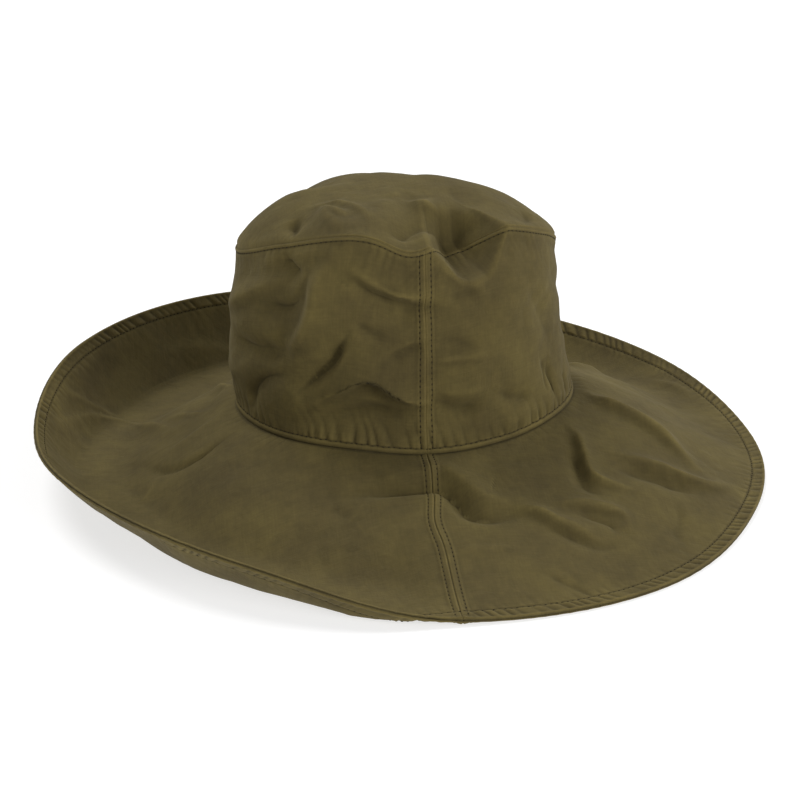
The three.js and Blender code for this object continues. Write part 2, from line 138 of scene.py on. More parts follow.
# Folds of the tip, by angle and share of the way out from its middle.
TIP_FOLDS = (
    Fold(((-67, 0.8), (-60, 0.9), (-54, 1.02)), 6, -5.6, 0.8, 0.4),
    Fold(((-64, 0.68), (-50, 0.76), (-35, 0.84)), 6, 4.4, 0.7),
    Fold(((-60, 0.72), (-44, 0.88), (-32, 1.0)), 6, 3.6, 0.6),
    Fold(((-10, 0.42), (8, 0.56), (18, 0.75), (22, 0.9)), 7, 5.0, 0.7, -0.3),
    Fold(((-20, 0.97), (-12, 0.88), (0, 0.74), (18, 0.84)), 8, -5.0, 0.5),
    Fold(((68, 0.8), (58, 0.9), (45, 1.0)), 6, -3.4, 0.7),
    Fold(((-66, 0.7), (-56, 0.6), (-34, 0.7), (-24, 0.82)), 5, 2.6, 0.9),
    Fold(((60, 0.3), (40, 0.5), (36, 0.74)), 9, -2.0, 0.4),
    Fold(((150, 0.2), (170, 0.5), (196, 0.74)), 13, -3.4, 0.4),
    Fold(((-100, 0.3), (-110, 0.6), (-130, 0.86)), 11, -2.8, 0.4),
    Fold(((100, 0.4), (112, 0.7), (130, 0.9)), 10, -2.4, 0.5),
)

# Folds of the brim, by angle and share of its reach.
BRIM_FOLDS = (
    Fold(((88, -0.02), (77, 0.15), (73.6, 0.3), (71, 0.43), (69, 0.52), (66, 0.62), (62, 0.74)),
         8, 6.4, 0.9, -0.2),
    Fold(((53, 0.34), (55.6, 0.49), (57.6, 0.59), (58.4, 0.68), (60, 0.78), (66, 0.9)),
         7, 5.0, 0.8, -0.4),
    Fold(((47, 0.37), (51, 0.46), (53.5, 0.56), (54.5, 0.64), (56, 0.76)), 6.5, -4.2, 0.3, 0.2),
    Fold(((58, 0.04), (52.4, 0.16), (46.4, 0.26), (42, 0.34), (41, 0.4), (42.4, 0.46), (46, 0.56)),
         6, 4.4, 0.8, -0.4),
    Fold(((47, 0.18), (42, 0.27), (37.5, 0.37), (37, 0.43), (39, 0.49)), 5.5, -3.2, 0.3),
    Fold(((26, 0.42), (30.8, 0.47), (34.4, 0.54), (36.6, 0.61), (35, 0.67)), 5, 3.6, 0.9, -0.4),
    Fold(((28, 0.5), (31, 0.56), (32.6, 0.62), (31, 0.68)), 5, -2.8, 0.4),
    Fold(((50, 0.69), (45.6, 0.76), (41.6, 0.8), (40.5, 0.88)), 5, -2.4, 0.6, 0.3),
    Fold(((-12, 0.13), (-1, 0.11), (4, 0.12), (7, 0.19), (9.6, 0.27), (13, 0.33), (19, 0.34)),
         8, 4.6, 0.5, -0.35),
    Fold(((-26, 0.27), (-12, 0.21), (-2, 0.2), (3, 0.22), (5.6, 0.28), (7.5, 0.37), (11, 0.42),
          (16, 0.43), (20, 0.44)),
         6, -7.4, 0.4),
    Fold(((16, 0.37), (20.8, 0.44), (22.8, 0.52), (24.8, 0.58), (28.6, 0.68)), 6, 4.6, 0.9, -0.4),
    Fold(((20, 0.51), (23, 0.6), (27, 0.7), (33, 0.69)), 6, -2.4, 0.4),
    Fold(((14, 0.1), (23, 0.11), (34, 0.15)), 6, -2.0, 0.4),
    Fold(((2, 0.59), (7, 0.61), (13, 0.62)), 4.5, 1.0, 0.8),
    Fold(((14, 0.76), (17, 0.86), (20, 0.97)), 4, -1.6, 0.9, 0.3),
    Fold(((112, 0.14), (112.5, 0.28), (113, 0.42)), 7, 3.2, 0.6),
    Fold(((118, 0.82), (111, 0.88), (105, 0.87)), 4.5, 2.2, 0.8, 0.3),
    Fold(((-106, 0.97), (-107.6, 0.95), (-111, 0.9), (-114, 0.84), (-116, 0.79), (-119, 0.72)),
         4, 2.4, 1.0, 0.4),
    Fold(((-95, 0.97), (-103, 0.89), (-110, 0.84), (-114, 0.78), (-115, 0.71), (-111, 0.53),
          (-97, 0.33)),
         5, 3.8, 1.0, 0.45),
    Fold(((-116, 0.74), (-108, 0.68), (-99, 0.65)), 4.5, -3.0, 0.7, 0.4),
    Fold(((-110, 0.4), (-104, 0.28), (-97, 0.17)), 4, 1.8, 1.0),
    Fold(((-131, 0.42), (-126, 0.3), (-113, 0.09)), 5, 2.8, 1.0, 0.4),
    Fold(((-133, 0.9), (-142, 0.885), (-148, 0.865), (-156, 0.84)), 5, 2.6, 1.0, 0.4),
    Fold(((-126, 0.78), (-134, 0.79), (-141, 0.81), (-150, 0.8)), 7, -3.4, 0.5, 0.3),
    Fold(((-118, 0.93), (-126, 0.91), (-134, 0.91)), 6, -2.6, 0.6),
    Fold(((-97, 0.12), (-112, 0.2), (-124, 0.24)), 7, -3.2, 0.5),
    Fold(((-88, 0.5), (-80, 0.42), (-76, 0.35), (-74, 0.26), (-73.5, 0.17), (-72, 0.06)),
         5.5, -3.4, 0.8, 0.5),
    Fold(((-92, 0.02), (-86, 0.16), (-84, 0.3), (-86, 0.44)), 9, 3.2, 0.4, -0.3),
    Fold(((-72, 0.64), (-74.5, 0.52), (-80, 0.44)), 4, 1.4, 1.0),
    Fold(((-78, 0.68), (-65, 0.62), (-56, 0.58)), 8, -2.2, 0.4),
    Fold(((-27, 0.06), (-20, 0.12), (-12, 0.17)), 7, -2.2, 0.5),
    Fold(((-27, 0.3), (-24, 0.34), (-20, 0.38)), 6, -1.6, 0.6),
    Fold(((-60, 0.2), (-52, 0.4), (-50, 0.66)), 10, 2.0, 0.3),
    Fold(((-40, 0.5), (-36, 0.66), (-38, 0.82)), 9, -1.8, 0.3),
    Fold(((146, 0.1), (152, 0.36), (158, 0.64)), 8, 4.0, 0.6, 0.3),
    Fold(((168, 0.2), (172, 0.5), (168, 0.8)), 8, -3.2, 0.4),
    Fold(((-166, 0.16), (-162, 0.42), (-157, 0.7)), 8, 4.0, 0.6, 0.3),
)

# Gathers that rows of stitches draw in. strength, pitch and reach are in millimetres.
# slant: how much a gather leans along the row for each millimetre away from it.
Gathers = namedtuple("Gathers", "strength pitch reach slant seed")
BASE_GATHERS = Gathers(1.15, 7.6, 11, 0.3, 21)
FINE_BASE_GATHERS = Gathers(0.55, 3.6, 5, 0.1, 23)
TOP_GATHERS = Gathers(0.35, 6.2, 12, -0.2, 24)
SIDE_GATHERS = Gathers(0.2, 6.0, 6, 0.3, 27)
TIP_GATHERS = Gathers(0.22, 5.4, 8, 0.3, 34)
BRIM_EDGE_GATHERS = Gathers(0.14, 9, 14, 0.4, 54)
BRIM_BASE_GATHERS = Gathers(0.2, 7, 10, 0.2, 57)
HEM_RIBS = Gathers(0.75, 6.6, 8, 0, 0)
HEM_GATHERS = Gathers(0.32, 6.6, 6.5, 0.4, 3)

# The front dent: below the tip seam the wall folds back over a lip and carries the seam inwards.
# push, drop: how far inwards and down it moves the seam. ledge, above: how far below and above the
# seam it fades out. from, full, until, to: millimetres along the seam, from the dent's angle, at
# which it starts, is full, starts to fade and ends.
DENT = {"angle": 16.5, "push": 24.5, "drop": 19.0, "ledge": 26.0, "above": 23.0,
        "from": -24.0, "full": 2.0, "until": 12.0, "to": 32.0}
LIP_ROUND = 0.05
SEAM_SAG = {"depth": 5.0, "angle": -7, "width": 10}  # the dent pulls the tip seam down beside it

# How far the folds at the brim's front seam carry it to the left: all of it beyond the crown, and
# more where the largest fold crosses it.
SEAM_SWAY = {"beyond": 1.6, "fold": 2.6, "share": 0.43, "width": 0.1}


# Shape of the hat ------------------------------------------------------------------------------

def around(column, angle):
    """Value of a table's column at angles in degrees, smooth all round."""
    values = np.asarray(column, float)
    place = np.mod(angle, 360) * len(values) / 360
    first = np.floor(place).astype(int)
    s = place - first
    a, b, c, d = (values[(first + k) % len(values)] for k in (-1, 0, 1, 2))
    return b + 0.5 * s * (c - a + s * (2 * a - 5 * b + 4 * c - d + s * (3 * (b - c) + d - a)))


def through(xs, ys, x):
    """Smooth curve through the points (xs, ys)."""
    x = np.asarray(x, float)
    xs = [np.broadcast_to(np.asarray(v, float), x.shape) for v in xs]
    ys = [np.broadcast_to(np.asarray(v, float), x.shape) for v in ys]
    last = len(xs) - 1
    chord = [(ys[k + 1] - ys[k]) / (xs[k + 1] - xs[k]) for k in range(last)]
    slope = [chord[0]] + [(chord[k - 1] + chord[k]) / 2 for k in range(1, last)] + [chord[-1]]
    result = np.zeros(x.shape)
    for k in range(last):
        width = xs[k + 1] - xs[k]
        s = (x - xs[k]) / width
        value = (
            (1 + 2 * s) * (1 - s) ** 2 * ys[k]
            + s * (1 - s) ** 2 * width * slope[k]
            + s * s * (3 - 2 * s) * ys[k + 1]
            + s * s * (s - 1) * width * slope[k + 1]
        )
        result = np.where((x > xs[k]) | (k == 0), value, result)
    return result


def smooth_step(x, low, high):
    """0 up to low and 1 from high on, with a smooth way between."""
    s = np.clip((x - low) / (high - low), 0, 1)
    return s * s * (3 - 2 * s)


def bump(x, middle, width):
    """A smooth hump: 1 at its middle, and little is left two widths away."""
    return np.exp(-(((x - middle) / width) ** 2))


def wrap(angle):
    """The same angle between -180 and 180 degrees."""
    return np.mod(angle + 180, 360) - 180


def seam_away(angle, radius):
    """Distance round the hat to the nearer side seam, at the front or the back."""
    turn = np.abs(wrap(angle))
    return np.minimum(turn, 180 - turn) * DEGREE * radius


def smooth_path(points, steps=6):
    """A curve of short pieces through the points of a path."""
    p = np.asarray(points, float)
    p = np.vstack([2 * p[0] - p[1], p, 2 * p[-1] - p[-2]])
    s = np.arange(steps)[:, None] / steps
    pieces = [
        b + 0.5 * s * (c - a + s * (2 * a - 5 * b + 4 * c - d + s * (3 * (b - c) + d - a)))
        for a, b, c, d in zip(p, p[1:], p[2:], p[3:])
    ]
    return np.vstack([*pieces, p[-2]])


def fold_lift(folds, chart, x, y):
    """Sum of the folds at places of a flat chart, in millimetres."""
    lift = np.zeros(np.shape(x))
    for fold in folds:
        points = smooth_path([chart(angle, share) for angle, share in fold.path])
        low, high = points.min(0) - 4 * fold.width, points.max(0) + 4 * fold.width
        near = (x > low[0]) & (x < high[0]) & (y > low[1]) & (y < high[1])
        if not near.any():
            continue
        px, py = x[near], y[near]
        lengths = np.hypot(*np.diff(points, axis=0).T)
        best = np.full(px.shape, 1e9)
        place = np.zeros(px.shape)
        side = np.zeros(px.shape)
        done = 0.0
        for (x0, y0), (x1, y1), length in zip(points, points[1:], lengths):
            dx, dy = (x1 - x0) / length, (y1 - y0) / length
            along = np.clip((px - x0) * dx + (py - y0) * dy, 0, length)
            away = np.hypot(px - x0 - along * dx, py - y0 - along * dy)
            nearer = away < best
            best = np.where(nearer, away, best)
            place = np.where(nearer, done + along, place)
            side = np.where(nearer, (px - x0) * dy - (py - y0) * dx, side)
            done += length
        width = fold.width * (1 + fold.lean * np.tanh(2 * side / fold.width))
        ratio = best / width
        soft = np.exp(-ratio * ratio)
        crease = np.exp(-1.6 * (np.hypot(ratio, 0.16) - 0.16)) * np.exp(-((ratio / 2.2) ** 2))
        ends = np.minimum(place, done - place) / (0.35 * done)
        taper = 0.15 + 0.85 * smooth_step(ends, 0, 1)
        lift[near] += fold.lift * taper * (soft + (crease - soft) * fold.crisp)
    return lift


def head_radius(angle):
    """Radius of the head oval."""
    turn = np.asarray(angle) * DEGREE
    return 1 / np.hypot(np.sin(turn) / (HEAD_LENGTH / 2), np.cos(turn) / (HEAD_WIDTH / 2))


def outward(angle):
    """Level unit vector away from the hat's middle."""
    turn = np.asarray(angle) * DEGREE
    return np.stack([np.sin(turn), -np.cos(turn), np.zeros(turn.shape)], -1)


def wall_chart(angle, share):
    """Place on the wall's cloth laid flat, in millimetres."""
    return angle * DEGREE * MEAN_RADIUS, share * CROWN_HEIGHT


def tip_radius(angle):
    return head_radius(angle) * around(CROWN["top"], angle)


def tip_chart(angle, share):
    """Place on the tip seen from above, in millimetres."""
    radius = tip_radius(angle) * share
    return np.sin(angle * DEGREE) * radius, -np.cos(angle * DEGREE) * radius


def tip_seam_height(angle):
    """Height of the tip seam, which sags beside the dent."""
    sag = SEAM_SAG["depth"] * bump(wrap(angle), SEAM_SAG["angle"], SEAM_SAG["width"])
    return STAND_HEIGHT + CROWN_HEIGHT * around(CROWN["rise"], angle) - sag


def dent_shift(angle, beyond):
    """How the dent moves cloth at a distance beyond the tip seam, or short of it if negative."""
    across = wrap(angle - DENT["angle"]) * DEGREE * tip_radius(angle)
    starts = smooth_step(across, DENT["from"], DENT["full"])
    depth = starts * (1 - smooth_step(across, DENT["until"], DENT["to"]))
    ledge = depth + np.minimum(beyond, 0) / DENT["ledge"]
    share = (ledge + np.hypot(ledge, LIP_ROUND)) / 2
    share = share * np.exp(-((np.maximum(beyond, 0) / DENT["above"]) ** 2))
    share = share * smooth_step(depth, 0, 0.25)
    shift = outward(angle) * (-DENT["push"] * share)[..., None]
    shift[..., 2] = -DENT["drop"] * share
    return shift


def wall_surface(angle, share):
    """Middle of the crown wall's cloth. share 0 is the lower seam and 1 the tip seam."""
    low = STAND_HEIGHT * around(CROWN["lower"], angle) - WALL_SEAT
    top = tip_seam_height(angle)
    widths = [1, around(CROWN["waist"], angle), around(CROWN["top"], angle)]
    profile = through([0, 0.5, 1], widths, share)
    x, y = wall_chart(wrap(angle), share)
    # A fold that crosses the back seam is met from both of its sides.
    lift = sum(fold_lift(WALL_FOLDS, wall_chart, x + turn * np.pi * 2 * MEAN_RADIUS, y)
               for turn in (-1, 0, 1))
    lift *= np.minimum(1, 6 * share) * np.minimum(1, 12 * (1 - share))
    place = outward(angle) * (head_radius(angle) * profile + lift)[..., None]
    place[..., 2] = low + (top - low) * share
    return place + dent_shift(angle, (share - 1) * CROWN_HEIGHT)


def tip_surface(angle, inside):
    """Middle of the tip's cloth. inside 0 is the tip seam and 1 the middle of the tip."""
    top = tip_seam_height(angle)
    place = outward(angle) * (tip_radius(angle) * (1 - inside))[..., None]
    lift = np.minimum(1, 8 * inside) * fold_lift(TIP_FOLDS, tip_chart, place[..., 0], place[..., 1])
    dome = around(CROWN["dome"], angle)
    outside = (np.hypot(1 - inside, TIP_BLUNT) - TIP_BLUNT) / (np.hypot(1, TIP_BLUNT) - TIP_BLUNT)
    full = np.maximum(1 - outside**dome, 0) ** (1.16 / dome)
    place[..., 2] = top + (STAND_HEIGHT + TIP_HEIGHT - top) * full + lift
    return place + dent_shift(angle, inside * tip_radius(angle))


def brim_radius(angle, share):
    inner = head_radius(angle) - BRIM_TUCK
    reach = around(BRIM["reach"], angle) + FRONT_REACH * bump(wrap(angle), *FRONT_LEFT)
    return inner + share * (BRIM_REACH * reach + BRIM_TUCK)


def brim_chart(angle, share):
    """Place on the brim seen from above, in millimetres."""
    radius = brim_radius(angle, share)
    return np.sin(angle * DEGREE) * radius, -np.cos(angle * DEGREE) * radius


def brim_surface(angle, share):
    """Face where the brim's two plies meet. share 0 is under the crown's wall and 1 the edge."""
    seat = STAND_HEIGHT * around(CROWN["lower"], angle) - BRIM_SEAT
    heights = [STAND_HEIGHT * around(BRIM[column], angle) for column in ("near", "turn", "edge")]
    bend = around(BRIM["bend"], angle) + FRONT_CURL * bump(wrap(angle), *FRONT_LEFT)
    place = outward(angle) * brim_radius(angle, share)[..., None]
    lift = fold_lift(BRIM_FOLDS, brim_chart, place[..., 0], place[..., 1])
    lift *= np.minimum(1, 5 * share) * np.minimum(1, 1.6 - share)

    def level(at):
        """Height of the unfolded brim."""
        return through([0, NEAR_SHARE, bend, 1], [seat, *heights], at)

    def rolled(at):
        """The same height with its bend softened to a roll."""
        reach = BEND_ROLL * np.minimum(1, np.minimum(at, 1 - at) / BEND_ROLL)
        return sum(level(at + k * reach) for k in (-1, -0.6, -0.2, 0.2, 0.6, 1)) / 6

    # The roll lifts the bend, so it is set back to its height; the cloth then rests on the table.
    sunk = (rolled(bend) - heights[1]) * bump(share, bend, 0.2)
    height = rolled(share) - sunk * smooth_step(1 - share, 0, 0.1) + lift - REST_LEVEL
    height = height - BRIM_SETTLE * smooth_step(share, 0.05, 0.4)
    place[..., 2] = REST_LEVEL + REST_ROLL * np.log1p(np.exp(height / REST_ROLL))
    sway = -SEAM_SWAY["beyond"] * smooth_step(share, 0.1, 0.35)
    sway = sway - SEAM_SWAY["fold"] * bump(share, SEAM_SWAY["share"], SEAM_SWAY["width"])
    place[..., 0] += sway * bump(wrap(angle), 0, 10)
    return place


# Crumples and puckers --------------------------------------------------------------------------

def hash_corner(cell, seed):
    """Three repeatable numbers from -1 to 1 for each corner of a lattice.

    Large odd numbers scramble the bits, so that neighbours have nothing in common.
    """
    mixed = cell[..., 0] * 374761393 + cell[..., 1] * 668265263
    mixed = mixed + cell[..., 2] * 1440662683 + seed * 97531
    parts = []
    for turn in (1274126177, 2246822519, 3266489917):
        value = mixed & 0xFFFFFFFF
        value = ((value ^ (value >> 15)) * turn) & 0xFFFFFFFF
        value = ((value ^ (value >> 13)) * 2654435761) & 0xFFFFFFFF
        parts.append(((value >> 8) & 0xFFFF) / 32767.5 - 1)
    return parts


def noise(points, size, seed):
    """Smooth noise from about -1 to 1 at points; size is the length of one wave."""
    place = np.asarray(points, float) / size + 31.7
    cell = np.floor(place).astype(np.int64)
    inside = place - cell
    fade = inside**3 * (inside * (inside * 6 - 15) + 10)
    total = np.zeros(place.shape[:-1])
    for corner in product((0, 1), repeat=3):
        slopes = hash_corner(cell + corner, seed)
        weight = np.ones(total.shape)
        height = np.zeros(total.shape)
        for axis in range(3):
            weight = weight * (fade[..., axis] if corner[axis] else 1 - fade[..., axis])
            height = height + slopes[axis] * (inside[..., axis] - corner[axis])
        total += weight * height
    return 1.5 * total


TRIANGLE_SLANT = 0.366025  # turns a square lattice into one of even triangles


def facets(x, y, size, seed):
    """Flat facets that meet in creases, about -1 to 1.

    They are heights at the corners of a lattice of triangles, bent by noise so that no two are
    alike. Four shifted copies are averaged, which rounds each crease a little.
    """
    spot = np.stack([x, y, np.zeros(x.shape)], -1)
    bend_x, bend_y = (0.45 * size * noise(spot, 2.2 * size, seed + k) for k in (1, 2))
    total = np.zeros(x.shape)
    rounding = 0.055 * size
    for shift_x, shift_y in ((-1, -1), (1, -1), (-1, 1), (1, 1)):
        a = (x + bend_x + shift_x * rounding) / size + 57.3
        b = (y + bend_y + shift_y * rounding) / size + 91.7
        slant = TRIANGLE_SLANT * (a + b)
        a, b = a + slant, b + slant
        cell = np.stack([np.floor(a), np.floor(b), np.zeros(a.shape)], -1).astype(np.int64)
        a, b = a - cell[..., 0], b - cell[..., 1]
        near, far = (hash_corner(cell + corner, seed)[0] for corner in ((0, 0, 0), (1, 1, 0)))
        side = np.where((a > b)[..., None], (1, 0, 0), (0, 1, 0))
        third = hash_corner(cell + side, seed)[0]
        low, high = np.minimum(a, b), np.maximum(a, b)
        total += near * (1 - high) + third * (high - low) + far * low
    return total / 4


def crumple(x, y, seed):
    """Hand-crushed creases of washed cotton, in millimetres, at places of a flat chart.

    Waves and facets of 40 to 50 mm lie everywhere, facets of 19 mm more in some patches than in
    others, and the finest, of 8.5 mm, in a few places only.
    """
    spot = np.stack([x, y, np.zeros(x.shape)], -1)
    patch = smooth_step(noise(spot, 55, seed + 6), -0.4, 0.4)
    few = smooth_step(noise(spot, 34, seed + 9), -0.1, 0.6)
    large = 1.5 * noise(spot, 52, seed + 3) + 1.5 * facets(x, y, 40, seed)
    middling = (0.35 + 0.7 * patch) * facets(0.8 * x, y, 19, seed + 20)
    return large + middling + 0.45 * few * facets(x, y, 8.5, seed + 40)


def pucker(along, away, kind, more=0):
    """Gathers of a kind, about -1 to 1, at millimetres along a row of stitches and away from it.

    more is added to the seed. Noise moves the ribs, and makes some stronger than others.
    """
    seed, pitch = kind.seed + more, kind.pitch
    place = along + kind.slant * away
    line = np.stack([place, away * 0.4, np.full(place.shape, seed * 37.1)], -1)
    turns = place / pitch + 0.9 * noise(line, 2.7 * pitch, seed)
    ribs = 1.5 * np.abs(np.sin(np.pi * turns)) ** 0.8 - 1
    strength = np.clip(0.62 + 0.9 * noise(line, 4.3 * pitch, seed + 1), 0.1, 1.35)
    uneven = 0.5 * noise(line, 1.9 * pitch, seed + 2)
    return strength * (ribs + uneven) * np.exp(-((away / kind.reach) ** 1.5))


def pressed_seam(away):
    """Profile across a pressed-open seam that has a row of stitches along each side."""
    raised = 0.55 * (1 - smooth_step(away, 3.6, 5.4)) + 0.22 * bump(away, 0.9, 0.6)
    groove, drawn_in = bump(away, 0, 0.28), bump(away, ALLOWANCE, 0.55)
    return raised - 0.4 * groove - 0.45 * drawn_in


def edge_round(away, radius):
    """Share of the cloth's thickness near a folded edge."""
    s = np.clip(away / radius, 0, 1)
    return 0.12 + 0.88 * np.sqrt(1 - (1 - s) ** 2)


# Grids of the panels ---------------------------------------------------------------------------

TRIAL_ROWS = 161  # rows on which a panel's true lengths are measured
SEAM_ZONE = (9, 46)  # columns keep their distance up to the first and spread from the second
# Rubbed wear and painted shade: this radius sets how pale ridges and how dark hollows are painted.
WEAR_AND_SHADE_RADIUS = 2.1  # a ridge as tight as this, in millimetres, is palest


def lines(near, total, step, far=None):
    """Distances from 0 to total: near ones at both ends, as given, and regular ones between."""
    far = near if far is None else far
    count = int(np.ceil((total - near[-1] - far[-1]) / step))
    middle = np.linspace(near[-1], total - far[-1], count + 1)[1:-1]
    return np.array([*near, *middle, *(total - np.array(far[::-1]))])


def half_angles(offsets, radius, spread):
    """Angles of the columns of one half; those beside a seam keep their distance from it."""
    total = offsets[..., -1:] + offsets[..., :1]
    near = np.minimum(offsets, total - offsets)
    blend = smooth_step(near, *SEAM_ZONE)
    turn = near * ((1 - blend) / radius + blend / spread) / DEGREE
    return np.where(offsets * 2 <= total, turn, 180 - turn)


def grid_normals(points, ring):
    """Unit normals of a grid, across its columns and then up its rows."""
    if ring:
        across = np.roll(points, -1, 1) - np.roll(points, 1, 1)
    else:
        across = np.gradient(points, axis=1)
    normals = np.cross(across, np.gradient(points, axis=0))
    return normals / np.linalg.norm(normals, axis=-1, keepdims=True)


def distances(points, axis):
    """Length along the grid from its start, in each column or row."""
    steps = np.linalg.norm(np.diff(points, axis=axis), axis=-1)
    return np.concatenate([np.zeros_like(np.take(steps, [0], axis)), np.cumsum(steps, axis)], axis)


def rows_by_length(surface, angle, near, middle, far):
    """Shares of a panel's rows: some at true distances from its edges, others evenly between."""
    trial = np.linspace(0, 1, TRIAL_ROWS)[:, None] + 0 * angle
    along = distances(surface(angle + 0 * trial, trial), 0)
    shares = []
    for column in range(along.shape[1]):
        total = along[-1, column]
        between = np.linspace(near[-1], total - far[-1], middle + 2)[1:-1]
        wanted = [*near, *between, *(total - np.array(far[::-1]))]
        shares.append(np.interp(wanted, along[:, column], trial[:, column]))
    return np.stack(shares, 1)


def add_object(name, data):
    """An object at the origin, in the scene."""
    made = bpy.data.objects.new(name, data)
    bpy.context.scene.collection.objects.link(made)
    return made


def cloth_mesh(name, face, back, uv, wear_and_painted_shade, skip, ring=False, pole=False):
    """A closed panel from its fine face and its back, which keeps every skip-th row and column.

    ring: its last column meets its first. pole: its last row closes on a point.
    """
    rows, columns = face.shape[:2]
    points = [face.reshape(-1, 3)]
    if pole:
        points.append(face[-1].mean(0)[None])
    back_start = sum(len(p) for p in points)
    picked_rows = np.unique([*range(0, rows, skip), rows - 1])
    picked = np.unique([*range(0, columns, skip), *([] if ring else [columns - 1])])
    coarse = back[np.ix_(picked_rows, picked)]
    points.append(coarse.reshape(-1, 3))
    if pole:
        points.append(back[-1].mean(0)[None])

    faces = []

    def skin(row_count, column_count, start, turned):
        """Adds the faces of one side, and returns the numbers of its points."""
        index = start + np.arange(row_count * column_count).reshape(row_count, column_count)
        if ring:
            index = np.hstack([index, index[:, :1]])
        quads = np.stack([index[:-1, :-1], index[:-1, 1:], index[1:, 1:], index[1:, :-1]], -1)
        quads = quads.reshape(-1, 4)
        faces.extend((quads[:, ::-1] if turned else quads).tolist())
        if pole:
            middle = start + row_count * column_count
            fan = [(int(a), int(b), middle) for a, b in zip(index[-1], index[-1][1:])]
            faces.extend(f[::-1] if turned else f for f in fan)
        return index

    fine = skin(rows, columns, 0, False)
    rough = skin(len(picked_rows), len(picked), back_start, True)

    def border(index, row_marks, column_marks):
        """(mark, vertex) round the panel, in the order in which its face runs."""
        last_column = columns if ring else columns - 1
        marks = list(column_marks) + ([columns] if ring else [])
        path = [(m, index[0, k]) for k, m in enumerate(marks)]
        if not ring:
            half_way = last_column + rows - 1
            path += [(last_column + m, index[k, -1]) for k, m in enumerate(row_marks)][1:]
            top = [(half_way + last_column - m, index[-1, k]) for k, m in enumerate(marks)]
            path += top[::-1][1:]
            left = [(2 * half_way - m, index[k, 0]) for k, m in enumerate(row_marks)]
            path += left[::-1][1:]
        return path

    # A rim joins the two borders like a zip: it steps along whichever one is behind.
    one = border(fine, range(rows), range(columns))
    two = border(rough, picked_rows, picked)
    i = j = 0
    while i < len(one) - 1 or j < len(two) - 1:
        if j == len(two) - 1 or (i < len(one) - 1 and one[i + 1][0] <= two[j + 1][0]):
            faces.append((int(one[i + 1][1]), int(one[i][1]), int(two[j][1])))
            i += 1
        else:
            faces.append((int(one[i][1]), int(two[j][1]), int(two[j + 1][1])))
            j += 1

    corners = (np.vstack(points) + [MIDDLE_X, 0, 0]) / 1000
    mesh = bpy.data.meshes.new(name)
    mesh.from_pydata(corners.tolist(), [], faces)
    if signed_volume(mesh) < 0:
        mesh.flip_normals()
    mesh.shade_smooth()
    spread_uv(mesh, face_values(uv, picked_rows, picked, pole))
    # Rubbed wear and painted shade, for the colour: pale on ridges, dark in hollows and clefts.
    wear_and_painted_shade_values = face_values(wear_and_painted_shade, picked_rows, picked, pole).astype(np.float32).ravel()
    mesh.attributes.new("wear_and_painted_shade", "FLOAT", "POINT").data.foreach_set("value", wear_and_painted_shade_values)
    return add_object(name, mesh)


def face_values(values, picked_rows, picked, pole):
    """Values of the fine face followed by those of the back, in the order of the mesh's points."""
    depth = values.shape[2:]
    fine = values.reshape(-1, *depth)
    coarse = values[np.ix_(picked_rows, picked)].reshape(-1, *depth)
    middle = [values[-1].mean(0)[None]] if pole else []
    return np.concatenate([fine, *middle, coarse, *middle])


def spread_uv(mesh, values):
    """UV map in metres of cloth."""
    corner = np.empty(len(mesh.loops), np.int32)
    mesh.loops.foreach_get("vertex_index", corner)
    layer = mesh.uv_layers.new(name="cloth")
    layer.data.foreach_set("uv", (values[corner] / 1000).astype(np.float32).ravel())


def signed_volume(mesh):
    """Volume inside a closed mesh, negative if its faces point inwards."""
    mesh.calc_loop_triangles()
    corners = np.empty(len(mesh.vertices) * 3, np.float32)
    mesh.vertices.foreach_get("co", corners)
    corners = corners.reshape(-1, 3).astype(float)
    index = np.empty(len(mesh.loop_triangles) * 3, np.int32)
    mesh.loop_triangles.foreach_get("vertices", index)
    a, b, c = (corners[index.reshape(-1, 3)[:, k]] for k in range(3))
    return np.einsum("ij,ij->i", a, np.cross(b, c)).sum() / 6


def crest_of(points, normals):
    """How sharply the cloth bends, from -1 in a hollow to 1 on a ridge. The cloth's colour is
    painted from it: paler on ridges, as rubbed wear and painted highlight, darker in hollows, as
    painted shade.
    """
    reach = 2  # rows and columns to the neighbours that it is read from
    softened = 0.4  # keeps grid lines that lie close together from reading as a sharp ridge
    padded = np.pad(points, ((reach, reach), (reach, reach), (0, 0)), mode="edge")
    bend = 0
    for a, b in ((0, reach), (2 * reach, reach), (reach, 0), (reach, 2 * reach)):
        step = padded[a:a + points.shape[0], b:b + points.shape[1]] - points
        bend = bend - (step * normals).sum(-1) / ((step * step).sum(-1) + softened)
    return np.clip(WEAR_AND_SHADE_RADIUS * bend, -1, 1)


def ring_columns(offsets, radius, spread):
    """Angles of the whole ring's columns, from the back seam by the left and the front."""
    right = half_angles(offsets, radius, spread)
    return np.concatenate([-right[:, ::-1], right], 1)


def two_sides(middle, normals, thick):
    """Outer and inner side of cloth, from its middle and half its thickness."""
    return middle + normals * thick[..., None], middle - normals * thick[..., None]


# Crown -----------------------------------------------------------------------------------------

